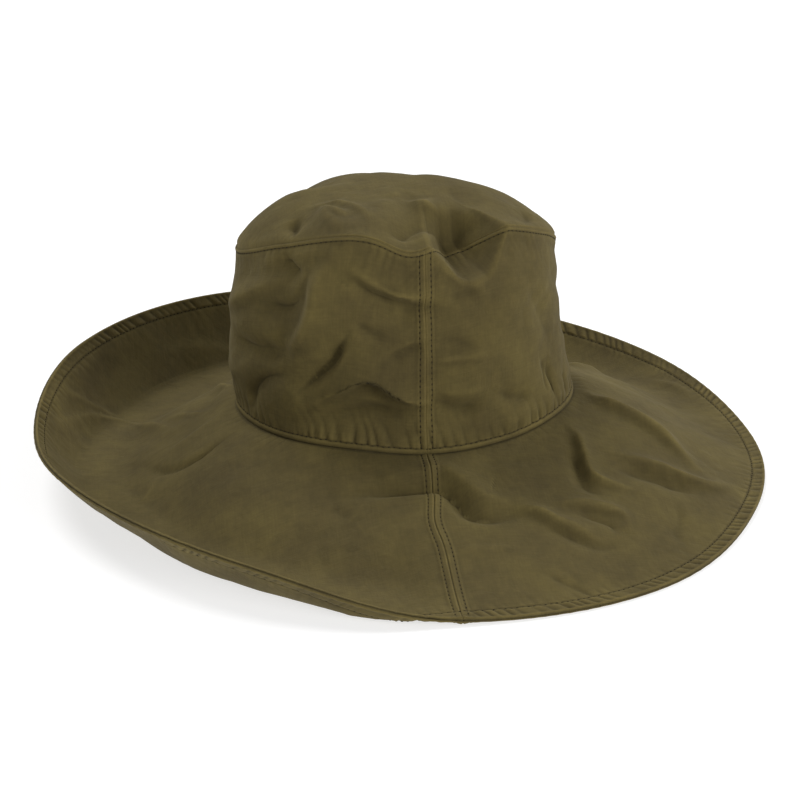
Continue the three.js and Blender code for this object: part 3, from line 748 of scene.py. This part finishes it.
# Grid lines close to a seam or an edge, by their distance from it.
SEAM_LINES = (0.02, 0.2, 0.5, 1.0, 1.6, 2.3, 2.9, ALLOWANCE, 3.9, 4.5, 5.2, 6.1, 7.1)
COLUMN_STEP = {"wall": 1.0, "brim": 0.7}  # millimetres between two columns away from the seams
ROWS_BETWEEN = {"wall": 74, "brim": 60}
WALL_LOWER_ROWS = (0.0, 0.12, 0.35, 0.7, 1.2, 1.8, 2.4, RIDGE, 3.4, 3.9, 4.6, 5.4, 6.4)
WALL_TOP_ROWS = (0.16, 0.35, 0.7, 1.2, 1.7, 2.3, 2.8, 3.4, 4.2, 5.2)
wall_offsets = lines(SEAM_LINES, np.pi * MEAN_RADIUS, COLUMN_STEP["wall"])
angles = ring_columns(wall_offsets[None, :], MEAN_RADIUS, MEAN_RADIUS)
wall_share = rows_by_length(wall_surface, angles, WALL_LOWER_ROWS, ROWS_BETWEEN["wall"],
                            WALL_TOP_ROWS)
wall_angle = angles + 0 * wall_share
wall_base = wall_surface(wall_angle, wall_share)
from_lower = distances(wall_base, 0)
from_top = from_lower[-1:] - from_lower + WALL_TOP_ROWS[0]
girth = distances(wall_base, 1)
side_away = seam_away(wall_angle, head_radius(wall_angle))

# Creases, calmer beside the seams and deepest at the left of the front.
calm = smooth_step(from_lower, 2, 12) * smooth_step(from_top, 1, 9)
left_front = 0.75 + 0.45 * bump(wrap(wall_angle + 40), 0, 60)
at_back = smooth_step(180 - np.abs(wrap(wall_angle)), 0, 9)
wall_x, wall_y = wall_chart(wrap(wall_angle), wall_share)
wall_detail = 1.45 * crumple(0.85 * wall_x, wall_y, 11) * (0.2 + 0.8 * calm) * left_front * at_back
# Gathers above the base's ridge, below the tip seam and beside the side seams.
above = np.maximum(from_lower - RIDGE, 0)
gathers = BASE_GATHERS.strength * pucker(girth, above, BASE_GATHERS)
gathers += FINE_BASE_GATHERS.strength * pucker(girth, above, FINE_BASE_GATHERS)
wall_detail += gathers * smooth_step(from_lower, 2.4, 5)
gathers = TOP_GATHERS.strength * pucker(girth, np.maximum(from_top - 2.3, 0), TOP_GATHERS)
wall_detail += gathers * smooth_step(from_top, 1.8, 4.4)
gathers = SIDE_GATHERS.strength * pucker(from_lower, np.abs(side_away - 3.2), SIDE_GATHERS)
wall_detail += gathers * smooth_step(side_away, 0.5, 2.4)
# The ridge at the base, the roll at the top, and the grooves that their stitches draw in.
ridge = 0.6 * (1 - smooth_step(from_lower, 2.4, 3.6))
wall_detail += ridge - 0.4 * bump(from_lower, BASE_STITCHES, 0.5)
wall_detail += 0.5 * bump(from_top, 1.2, 0.9) - 0.35 * bump(from_top, TOP_STITCHES, 0.5)
wall_detail += pressed_seam(side_away) * smooth_step(from_lower, 1.5, 4)

wall_middle = wall_base + grid_normals(wall_base, False) * wall_detail[..., None]
wall_normals = grid_normals(wall_middle, False)
lower_round, top_round = edge_round(from_lower, 0.7), edge_round(from_top - WALL_TOP_ROWS[0], 0.5)
wall_thick = CLOTH / 2 * np.minimum(lower_round, top_round)
wall_face, wall_back = two_sides(wall_middle, wall_normals, wall_thick)
wall_uv = np.stack(wall_chart(wall_angle, wall_share), -1)
# Painted shade: the cleft at the wall's lower edge is painted dark, where the brim's shade falls.
wall_wear_and_painted_shade = crest_of(wall_middle, wall_normals) - 1.5 * (1 - smooth_step(from_lower, 0.3, 0.9))

TIP_SIZE = 82.0  # seam to the tip's middle
TIP_SEAM_LINES = (0.5, 0.8, 1.2, 1.9, 2.7)
TIP_ROW_STEP = 1.35
tip_rows = lines(TIP_SEAM_LINES, TIP_SIZE, TIP_ROW_STEP, (2.6,))
tip_angle, tip_inside = np.broadcast_arrays(angles, (tip_rows / TIP_SIZE)[:, None])
tip_base = tip_surface(tip_angle, tip_inside)
from_seam = distances(tip_base, 0) + TIP_SEAM_LINES[0]
round_tip = distances(tip_base[:1], 1) + 0 * tip_angle
tip_detail = crumple(tip_base[..., 0], tip_base[..., 1], 31) * smooth_step(from_seam, 0.5, 9)
gathers = TIP_GATHERS.strength * pucker(round_tip, from_seam, TIP_GATHERS)
tip_detail += gathers * smooth_step(from_seam, 0.6, 3)
tip_middle = tip_base + grid_normals(tip_base, True) * tip_detail[..., None]
# The tip's allowance turns down inside the wall, under these rows of it.
TUCK_ROWS = (-7, -5, -3)
TUCK_DEPTH = 1.0
tuck = np.stack([wall_middle[k] - TUCK_DEPTH * wall_normals[k] for k in TUCK_ROWS])
tip_middle = np.concatenate([tuck, tip_middle])
tip_normals = grid_normals(tip_middle, True)
tip_thick = CLOTH / 2 * edge_round(distances(tip_middle, 0), 0.5)
tip_face, tip_back = two_sides(tip_middle, tip_normals, tip_thick)
tip_uv = tip_middle[..., :2]
tip_wear_and_painted_shade = crest_of(tip_middle, tip_normals)

# Brim ------------------------------------------------------------------------------------------

BRIM_SPREAD = 158.0  # radius at which the columns lie at even distances
EDGE_LINES = np.array((0.0, 0.1, 0.3, 0.6, 1.1, 1.8, 2.6, 3.4, 4.2, 5.0, 5.8, 6.6, 7.3, HEM_WIDTH,
                       8.7, 9.5, 10.4, 11.5))
brim_offsets = lines(SEAM_LINES, np.pi * BRIM_SPREAD, COLUMN_STEP["brim"])
edge_angle = ring_columns(brim_offsets[None, :], BRIM_SPREAD, BRIM_SPREAD)
brim_share = rows_by_length(brim_surface, edge_angle, (0.0, 0.8), ROWS_BETWEEN["brim"], EDGE_LINES)
half_count = len(brim_offsets)
mean_radius = MEAN_RADIUS + brim_share * BRIM_REACH * 0.95
brim_angle = ring_columns(brim_offsets[None, :] + 0 * brim_share[:, :half_count],
                          mean_radius[:, half_count:], BRIM_SPREAD)
brim_base = brim_surface(brim_angle, brim_share)
outwards = distances(brim_base, 0)
from_edge = outwards[-1:] - outwards
edge_run = distances(brim_base, 1)[-1:] + 0 * brim_angle
crown_run = distances(brim_base, 1)[:1] + 0 * brim_angle
brim_side = seam_away(brim_angle, brim_radius(brim_angle, brim_share))

# Creases of both plies, fewer at the front, where the brim lies smoother.
flat_front = 1 - 0.45 * bump(wrap(brim_angle), -10, 50)
brim_detail = 0.85 * crumple(brim_base[..., 0], brim_base[..., 1], 51) * flat_front
brim_detail *= smooth_step(outwards, 1, 10) * smooth_step(from_edge, 2, 16)
beyond_hem = np.maximum(from_edge - HEM_WIDTH, 0)
brim_detail += BRIM_EDGE_GATHERS.strength * pucker(edge_run, beyond_hem, BRIM_EDGE_GATHERS)
beyond_crown = np.maximum(outwards - 2, 0)
gathers = BRIM_BASE_GATHERS.strength * pucker(crown_run, beyond_crown, BRIM_BASE_GATHERS)
brim_detail += gathers * smooth_step(outwards, 1, 4)
brim_middle = brim_base - grid_normals(brim_base, False) * brim_detail[..., None]
brim_middle[..., 2] = np.maximum(brim_middle[..., 2], REST_LEVEL)
brim_normals = -grid_normals(brim_middle, False)


def ply_swell(seed):
    """How far one ply stands out over its sewing, in millimetres."""
    in_hem = smooth_step(from_edge, 0.2, 3) * (1 - smooth_step(from_edge, 6.9, HEM_WIDTH))
    swell = 0.3 * (1 - smooth_step(from_edge, HEM_WIDTH - 1, HEM_WIDTH + 0.6))
    ribs = pucker(edge_run + 0.7 * from_edge, 0 * from_edge, HEM_RIBS, seed)
    swell = swell + HEM_RIBS.strength * in_hem * ribs
    drawn = HEM_GATHERS.strength * pucker(edge_run, beyond_hem, HEM_GATHERS, seed)
    swell = swell + drawn * smooth_step(from_edge, HEM_WIDTH, HEM_WIDTH + 2)
    # The groove of the hem's stitches, and the folded edge that stands a little fuller.
    groove, fold = bump(from_edge, HEM_WIDTH, 0.65), bump(from_edge, 0.9, 0.8)
    swell = swell - 0.42 * groove + 0.35 * fold
    return swell + pressed_seam(brim_side) * (1 - 0.5 * in_hem)


LEAST_SWELL = -0.45  # keeps a ply thick enough in its deepest groove
PRESS_FADE = 0.8  # height above the table over which the under ply stops lying flat on it
ply_round = edge_round(from_edge, 0.6)


def brim_ply(side, seed):
    """Outer face, hidden face and crest of a ply. side is 1 for the upper and -1 for the lower."""
    far = PLY_GAP + (PLY + np.maximum(ply_swell(seed), LEAST_SWELL)) * ply_round
    face = brim_middle + side * brim_normals * far[..., None]
    back = brim_middle + side * brim_normals * PLY_GAP
    for grid in (face, back):
        grid[..., 2] = np.maximum(grid[..., 2], 0)
    if side < 0:
        # Its own weight presses it flat where it rests on the table.
        resting = np.exp(-(brim_middle[..., 2] - REST_LEVEL) / PRESS_FADE)
        face[..., 2] *= 1 - resting * smooth_step(from_edge, 0.3, 1.4)
    # Painted shade: the cleft beside the crown is painted dark, where the wall's shade falls.
    wear_and_painted_shade = crest_of(face, side * brim_normals) - 1.6 * (1 - smooth_step(outwards, 1.3, 2.9))
    return face, back, wear_and_painted_shade


brim_uv = brim_base[..., :2]

# Materials -------------------------------------------------------------------------------------

def linear(hex_colour):
    """Linear RGBA of an sRGB hex colour."""
    parts = [int(hex_colour[k:k + 2], 16) / 255 for k in (1, 3, 5)]
    return [p / 12.92 if p < 0.04045 else ((p + 0.055) / 1.055) ** 2.4 for p in parts] + [1]


def node(tree, kind, inputs=None, **settings):
    """Adds a node, with its settings, and its inputs set or linked by name or number."""
    made = tree.nodes.new(kind)
    for name, value in settings.items():
        setattr(made, name, value)
    for key, value in (inputs or {}).items():
        socket = made.inputs[key]
        if isinstance(value, bpy.types.NodeSocket):
            tree.links.new(value, socket)
        else:
            socket.default_value = value
    return made


def new_material(name):
    material = bpy.data.materials.new(name)
    material.use_nodes = True
    material.node_tree.nodes.clear()
    return material, material.node_tree


# Patterns in the cloth, as waves to the metre.
DYE_CLOUDS = 26.0  # 38 mm across
DYE_FLECKS = 170.0  # 6 mm
YARNS = 1050.0  # 0.95 mm. Real yarns lie 0.3 mm apart, too fine to show, so three are drawn as one.
SLUBS = 70.0  # 14 mm along a yarn
SOFT_CREASES = 120.0  # 8 mm


def cotton_poplin():
    """Washed cotton poplin, woven fine and flat and dyed as a finished garment.

    It looks matt and dry, softly mottled where the dye took unevenly, with a faint cross of yarns.
    Ridges of creases and seams are painted pale, as rubbed wear and painted highlight, and hollows
    are painted dark, as painted shade.
    """
    material, tree = new_material("cotton poplin, garment dyed olive")
    cloth = node(tree, "ShaderNodeUVMap", uv_map="cloth").outputs["UV"]
    place = node(tree, "ShaderNodeTexCoord").outputs["Object"]
    # Dye, cloudy over the whole cloth and flecked in small places.
    cloudy = node(tree, "ShaderNodeTexNoise", {
        "Vector": place, "Scale": DYE_CLOUDS, "Detail": 5.0, "Roughness": 0.6})
    mottled = node(tree, "ShaderNodeTexNoise", {
        "Vector": place, "Scale": DYE_FLECKS, "Detail": 4.0, "Roughness": 0.65})
    # Yarns, as noise drawn out along the warp and along the weft.
    ways = []
    for stretch in ((YARNS, SLUBS, 1.0), (SLUBS, YARNS, 1.0)):
        drawn = node(tree, "ShaderNodeMapping", {"Vector": cloth, "Scale": stretch})
        way = node(tree, "ShaderNodeTexNoise", {
            "Vector": drawn.outputs[0], "Scale": 1.0, "Detail": 2.0})
        ways.append(way.outputs["Fac"])
    yarns = node(tree, "ShaderNodeMath", {0: ways[0], 1: ways[1]}, operation="ADD")

    uneven = node(tree, "ShaderNodeMapRange", {
        "Value": cloudy.outputs["Fac"], "From Min": 0.32, "From Max": 0.68})
    base = node(tree, "ShaderNodeMix", {
        0: uneven.outputs[0], 6: linear("#4d4326"), 7: linear("#5d522d")}, data_type="RGBA")
    # Each of these makes the colour darker or paler: flecks, yarns, and the bend of the cloth, as
    # rubbed wear and painted highlight on ridges and painted shade in hollows and clefts.
    wear_and_painted_shade = node(tree, "ShaderNodeAttribute", attribute_name="wear_and_painted_shade")
    tones = []
    for value, low, high, dark, pale in (
        (mottled.outputs["Fac"], 0.3, 0.7, 0.9, 1.1),
        (yarns.outputs[0], 0.6, 1.4, 0.9, 1.1),
        # Painted shade in hollows and clefts, rubbed wear and painted highlight on ridges.
        (wear_and_painted_shade.outputs["Fac"], -1.0, 1.0, 0.62, 1.4),
    ):
        shift = node(tree, "ShaderNodeMapRange", {
            "Value": value, "From Min": low, "From Max": high, "To Min": dark, "To Max": pale})
        tones.append(shift.outputs[0])
    tone = node(tree, "ShaderNodeMath", {0: tones[0], 1: tones[1]}, operation="MULTIPLY")
    tone = node(tree, "ShaderNodeMath", {0: tone.outputs[0], 1: tones[2]}, operation="MULTIPLY")
    shade = node(tree, "ShaderNodeVectorMath", {0: base.outputs[2], "Scale": tone.outputs[0]},
                 operation="SCALE")

    # Relief of the yarns, and of creases too small for the mesh.
    weave = node(tree, "ShaderNodeBump", {
        "Height": yarns.outputs[0], "Strength": 0.35, "Distance": 0.00018})
    creased = node(tree, "ShaderNodeTexNoise", {
        "Vector": place, "Scale": SOFT_CREASES, "Detail": 6.0, "Roughness": 0.55,
        "Distortion": 0.6})
    soft = node(tree, "ShaderNodeBump", {
        "Height": creased.outputs["Fac"], "Strength": 0.5, "Distance": 0.0011,
        "Normal": weave.outputs[0]})
    skin = node(tree, "ShaderNodeBsdfPrincipled", {
        "Base Color": shade.outputs[0], "Roughness": 0.92, "IOR": 1.5, "Specular IOR Level": 0.25,
        "Sheen Weight": 0.12, "Sheen Roughness": 0.55, "Sheen Tint": linear("#b5a97c"),
        "Normal": soft.outputs[0],
    })
    node(tree, "ShaderNodeOutputMaterial", {"Surface": skin.outputs[0]})
    return material


def sewing_thread():
    """Spun sewing thread, dyed with the cloth and drawn down into it.

    Its colour is painted darker than the cotton, with no shine: it stands for the needle holes and,
    as painted shade, for the shade round each stitch, which the eye takes for the thread.
    """
    material, tree = new_material("spun sewing thread, olive")
    # Fibres differ over about 1 mm.
    place = node(tree, "ShaderNodeTexCoord").outputs["Object"]
    uneven = node(tree, "ShaderNodeTexNoise", {"Vector": place, "Scale": 900.0, "Detail": 2.0})
    tint = node(tree, "ShaderNodeValToRGB", {"Fac": uneven.outputs["Fac"]})
    # Painted shade: darker than the cloth, for the needle holes and the shade round each stitch.
    tint.color_ramp.elements[0].color = linear("#211c0f")
    tint.color_ramp.elements[1].color = linear("#3a331d")
    skin = node(tree, "ShaderNodeBsdfPrincipled", {
        "Base Color": tint.outputs[0], "Roughness": 0.8, "IOR": 1.5, "Specular IOR Level": 0.2,
    })
    node(tree, "ShaderNodeOutputMaterial", {"Surface": skin.outputs[0]})
    return material


def studio_floor():
    """Seamless paper, lit from behind: matt, with no edge in sight.

    Its grey and its soft glow together look white, and still take the hat's shadow.
    """
    material, tree = new_material("white seamless paper")
    place = node(tree, "ShaderNodeTexCoord").outputs["Object"]
    # The paper is barely uneven, over 250 mm.
    tooth = node(tree, "ShaderNodeTexNoise", {"Vector": place, "Scale": 4.0, "Detail": 2.0})
    tint = node(tree, "ShaderNodeValToRGB", {"Fac": tooth.outputs["Fac"]})
    tint.color_ramp.elements[0].color = linear("#b2b2b2")
    tint.color_ramp.elements[1].color = linear("#b6b6b6")
    skin = node(tree, "ShaderNodeBsdfPrincipled", {
        "Base Color": tint.outputs[0], "Roughness": 0.95, "Specular IOR Level": 0.1,
        "Emission Color": linear("#ffffff"), "Emission Strength": 0.68,
    })
    node(tree, "ShaderNodeOutputMaterial", {"Surface": skin.outputs[0]})
    return material


cotton = cotton_poplin()
thread = sewing_thread()


# Pieces ----------------------------------------------------------------------------------------

BACK_SKIP = 2  # the inside of the crown keeps every second row and column
HIDDEN_SKIP = 3  # the plies' hidden faces keep every third


def ride_and_finish(piece):
    """Every piece rides on the hat's one body."""
    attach(piece, "root")


def dress(panel, node_name):
    """A panel of cotton that stands for a node of the model."""
    panel.data.materials.append(cotton)
    ride_and_finish(panel)
    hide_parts(node_name)


def halves(grid):
    """The left and the right half of a ring's grid, whose columns run from the back seam round."""
    middle = grid.shape[1] // 2
    return {"left": grid[:, :middle], "right": grid[:, middle:]}


for side in ("left", "right"):
    face, back, uv, wear_and_painted_shade = (halves(g)[side] for g in (wall_face, wall_back, wall_uv, wall_wear_and_painted_shade))
    panel = cloth_mesh(f"crown_side_panel_{side}", face, back, uv, wear_and_painted_shade, BACK_SKIP)
    dress(panel, f"crown_side_{side}")

panel = cloth_mesh("crown_tip_panel", tip_face, tip_back, tip_uv, tip_wear_and_painted_shade, BACK_SKIP,
                   ring=True, pole=True)
dress(panel, "crown_tip")

outer_faces = {}
for ply, way, seed in (("top", 1, 61), ("under", -1, 81)):
    ply_face, ply_back, ply_wear_and_painted_shade = brim_ply(way, seed)
    outer_faces[ply] = ply_face
    for side in ("left", "right"):
        face, back, uv, wear_and_painted_shade = (halves(g)[side] for g in (ply_face, ply_back, brim_uv, ply_wear_and_painted_shade))
        panel = cloth_mesh(f"brim_{ply}_ply_{side}", face, back, uv, wear_and_painted_shade, HIDDEN_SKIP)
        dress(panel, f"brim_{ply}_{side}")


# Stitches --------------------------------------------------------------------------------------

def stitch_tree():
    """Nodes that lay a stitch at every pitch along a path, flat on the cloth.

    A stitch is a plump bead, stretched along the path. cloth_up is the cloth's normal.
    """
    tree = bpy.data.node_groups.new("row of stitches", "GeometryNodeTree")
    face = tree.interface
    face.new_socket("Geometry", in_out="INPUT", socket_type="NodeSocketGeometry")
    for name, value in (("Pitch", 0.003), ("Stitch length", 0.0023), ("Thread width", 0.0005)):
        face.new_socket(name, in_out="INPUT", socket_type="NodeSocketFloat").default_value = value
    face.new_socket("Thread", in_out="INPUT", socket_type="NodeSocketMaterial")
    face.new_socket("Geometry", in_out="OUTPUT", socket_type="NodeSocketGeometry")
    given = node(tree, "NodeGroupInput").outputs
    path = node(tree, "GeometryNodeMeshToCurve", {"Mesh": given["Geometry"]})
    evenly = node(tree, "GeometryNodeResampleCurve", {
        "Curve": path.outputs[0], "Length": given["Pitch"]}, mode="LENGTH")
    points = node(tree, "GeometryNodeCurveToPoints", {"Curve": evenly.outputs[0]}, mode="EVALUATED")
    up = node(tree, "GeometryNodeInputNamedAttribute", {"Name": "cloth_up"},
              data_type="FLOAT_VECTOR")
    aligned = node(tree, "FunctionNodeAlignRotationToVector", {
        "Vector": points.outputs["Tangent"]}, axis="X")
    standing = node(tree, "FunctionNodeAlignRotationToVector", {
        "Rotation": aligned.outputs[0], "Vector": up.outputs[0]}, axis="Z", pivot_axis="X")
    bead = node(tree, "GeometryNodeMeshUVSphere", {"Segments": 6, "Rings": 4, "Radius": 0.5})
    size = node(tree, "ShaderNodeCombineXYZ", {
        "X": given["Stitch length"], "Y": given["Thread width"], "Z": given["Thread width"]})
    # No two stitches are quite the same size.
    vary = node(tree, "FunctionNodeRandomValue", {2: 0.9, 3: 1.08, "Seed": 7}, data_type="FLOAT")
    sized = node(tree, "ShaderNodeVectorMath", {0: size.outputs[0], "Scale": vary.outputs[1]},
                 operation="SCALE")
    laid = node(tree, "GeometryNodeInstanceOnPoints", {
        "Points": points.outputs["Points"], "Instance": bead.outputs["Mesh"],
        "Rotation": standing.outputs[0], "Scale": sized.outputs[0],
    })
    real = node(tree, "GeometryNodeRealizeInstances", {0: laid.outputs[0]})
    sewn = node(tree, "GeometryNodeSetMaterial", {
        "Geometry": real.outputs[0], "Material": given["Thread"]})
    node(tree, "NodeGroupOutput", {"Geometry": sewn.outputs[0]})
    return tree


STITCHES = stitch_tree()


def stitch_rows(name, rows):
    """Stitches along rows of points on the cloth. Each row has its points and their normals."""
    corners, edges, ups = [], [], []
    for points, normals in rows:
        start = len(corners)
        laid = points + normals * 0.05 + [MIDDLE_X, 0, 0]
        laid[:, 2] = np.maximum(laid[:, 2], THREAD_WIDTH / 2)
        corners += (laid / 1000).tolist()
        ups += normals.tolist()
        edges += [(start + k, start + k + 1) for k in range(len(points) - 1)]
    mesh = bpy.data.meshes.new(name + "_path")
    mesh.from_pydata(corners, edges, [])
    cloth_up = mesh.attributes.new("cloth_up", "FLOAT_VECTOR", "POINT")
    cloth_up.data.foreach_set("vector", np.ravel(ups))
    path = add_object(name + "_path", mesh)
    sewing = path.modifiers.new("sewing", "NODES")
    sewing.node_group = STITCHES
    names = {s.name: s.identifier for s in STITCHES.interface.items_tree if s.in_out == "INPUT"}
    sewing[names["Pitch"]] = STITCH_PITCH / 1000
    sewing[names["Stitch length"]] = STITCH_LENGTH / 1000
    sewing[names["Thread width"]] = THREAD_WIDTH / 1000
    sewing[names["Thread"]] = thread
    evaluated = path.evaluated_get(bpy.context.evaluated_depsgraph_get())
    sewn = bpy.data.meshes.new_from_object(evaluated)
    sewn.name = name
    sewn.shade_smooth()
    path.modifiers.remove(sewing)
    bpy.data.objects.remove(path)
    ride_and_finish(add_object(name, sewn))


def along_row(face, normals, distance, goal):
    """The points of the grid's row that lies nearest to a distance from a seam."""
    row = int(np.argmin(np.abs(distance.mean(1) - goal)))
    return face[row], normals[row]


def along_columns(face, normals, offsets, low, high):
    """The four columns of stitches, on both sides of each of the two side seams."""
    half = len(offsets)
    columns = []
    for seam in (ALLOWANCE, offsets[-1] - ALLOWANCE):
        near = int(np.argmin(np.abs(offsets - seam)))
        columns += [half + near, half - 1 - near]
    return [(face[low:high, c], normals[low:high, c]) for c in columns]


stitch_rows("stitches_crown_base", [along_row(wall_face, wall_normals, from_lower, BASE_STITCHES)])
stitch_rows("stitches_crown_top", [along_row(wall_face, wall_normals, from_top, TOP_STITCHES)])
stitch_rows("stitches_crown_sides", along_columns(wall_face, wall_normals, wall_offsets, 9, -6))
for ply, way in (("top", 1), ("under", -1)):
    face, normals = outer_faces[ply], way * brim_normals
    stitch_rows(f"stitches_hem_{ply}", [along_row(face, normals, from_edge, HEM_WIDTH)])
    stitch_rows(f"stitches_brim_seams_{ply}", along_columns(face, normals, brim_offsets, 2, -9))


# Studio ----------------------------------------------------------------------------------------

FLOOR_HALF = 6.0  # metres
FLOOR_LEVEL = -0.0002  # just below the cloth, so that the two faces don't fight
floor_corners = [(x * FLOOR_HALF, y * FLOOR_HALF, FLOOR_LEVEL)
                 for x, y in ((-1, -1), (1, -1), (1, 1), (-1, 1))]
floor_mesh = bpy.data.meshes.new("studio_floor")
floor_mesh.from_pydata(floor_corners, [], [(0, 1, 2, 3)])
floor_mesh.materials.append(studio_floor())
add_object("studio_floor", floor_mesh)

# Fitted to the photograph: the angles, the target and the shift; the distance is an estimate.
CAMERA_AZIMUTH, CAMERA_ELEVATION = -8.0, 21.0
CAMERA_DISTANCE = 1.3
CAMERA_TARGET = Vector((-0.00099, 0.00042, 0.05))


def direction(azimuth, elevation):
    """Unit vector from the hat towards an azimuth and an elevation, in degrees."""
    a, e = azimuth * DEGREE, elevation * DEGREE
    return Vector((np.sin(a) * np.cos(e), -np.cos(a) * np.cos(e), np.sin(e)))


camera_data = bpy.data.cameras.new("camera")
camera_data.lens = 98.0
camera_data.sensor_width = 36.0
camera_data.shift_y = -0.02446
camera = add_object("camera", camera_data)
towards_camera = direction(CAMERA_AZIMUTH, CAMERA_ELEVATION)
camera.location = CAMERA_TARGET + towards_camera * CAMERA_DISTANCE
camera.rotation_mode = "QUATERNION"
camera.rotation_quaternion = (-towards_camera).to_track_quat("-Z", "Y")
bpy.context.scene.camera = camera

# Lamps: the azimuth and elevation they shine from, strength, and the width of the soft box as the
# hat sees it. All angles are in degrees.
LAMPS = (
    ("overhead box, behind", -146, 56, 1.75, 30),
    ("side box, front right", 40, 20, 1.5, 26),
    ("side box, right", 112, 35, 0.95, 30),
    ("side box, front left", -60, 35, 0.4, 40),
)
for name, azimuth, elevation, strength, width in LAMPS:
    lamp = bpy.data.lights.new(name, "SUN")
    lamp.energy = strength
    lamp.angle = width * DEGREE
    holder = add_object(name, lamp)
    holder.rotation_mode = "QUATERNION"
    holder.rotation_quaternion = direction(azimuth, elevation).to_track_quat("Z", "Y")

ROOM_LIGHT = 0.2  # the walls' light on the hat; the camera sees them as 1, white


def soft_room():
    """White walls far away, which light the hat so softly that its folds keep their shade."""
    room = bpy.data.worlds.new("soft room")
    room.use_nodes = True
    tree = room.node_tree
    tree.nodes.clear()
    seen = node(tree, "ShaderNodeLightPath").outputs["Is Camera Ray"]
    level = node(tree, "ShaderNodeMapRange", {"Value": seen, "To Min": ROOM_LIGHT, "To Max": 1.0})
    walls = node(tree, "ShaderNodeBackground", {
        "Color": (1, 1, 1, 1), "Strength": level.outputs[0]})
    node(tree, "ShaderNodeOutputWorld", {"Surface": walls.outputs[0]})
    return room


bpy.context.scene.world = soft_room()
bpy.context.scene.view_settings.view_transform = "Standard"
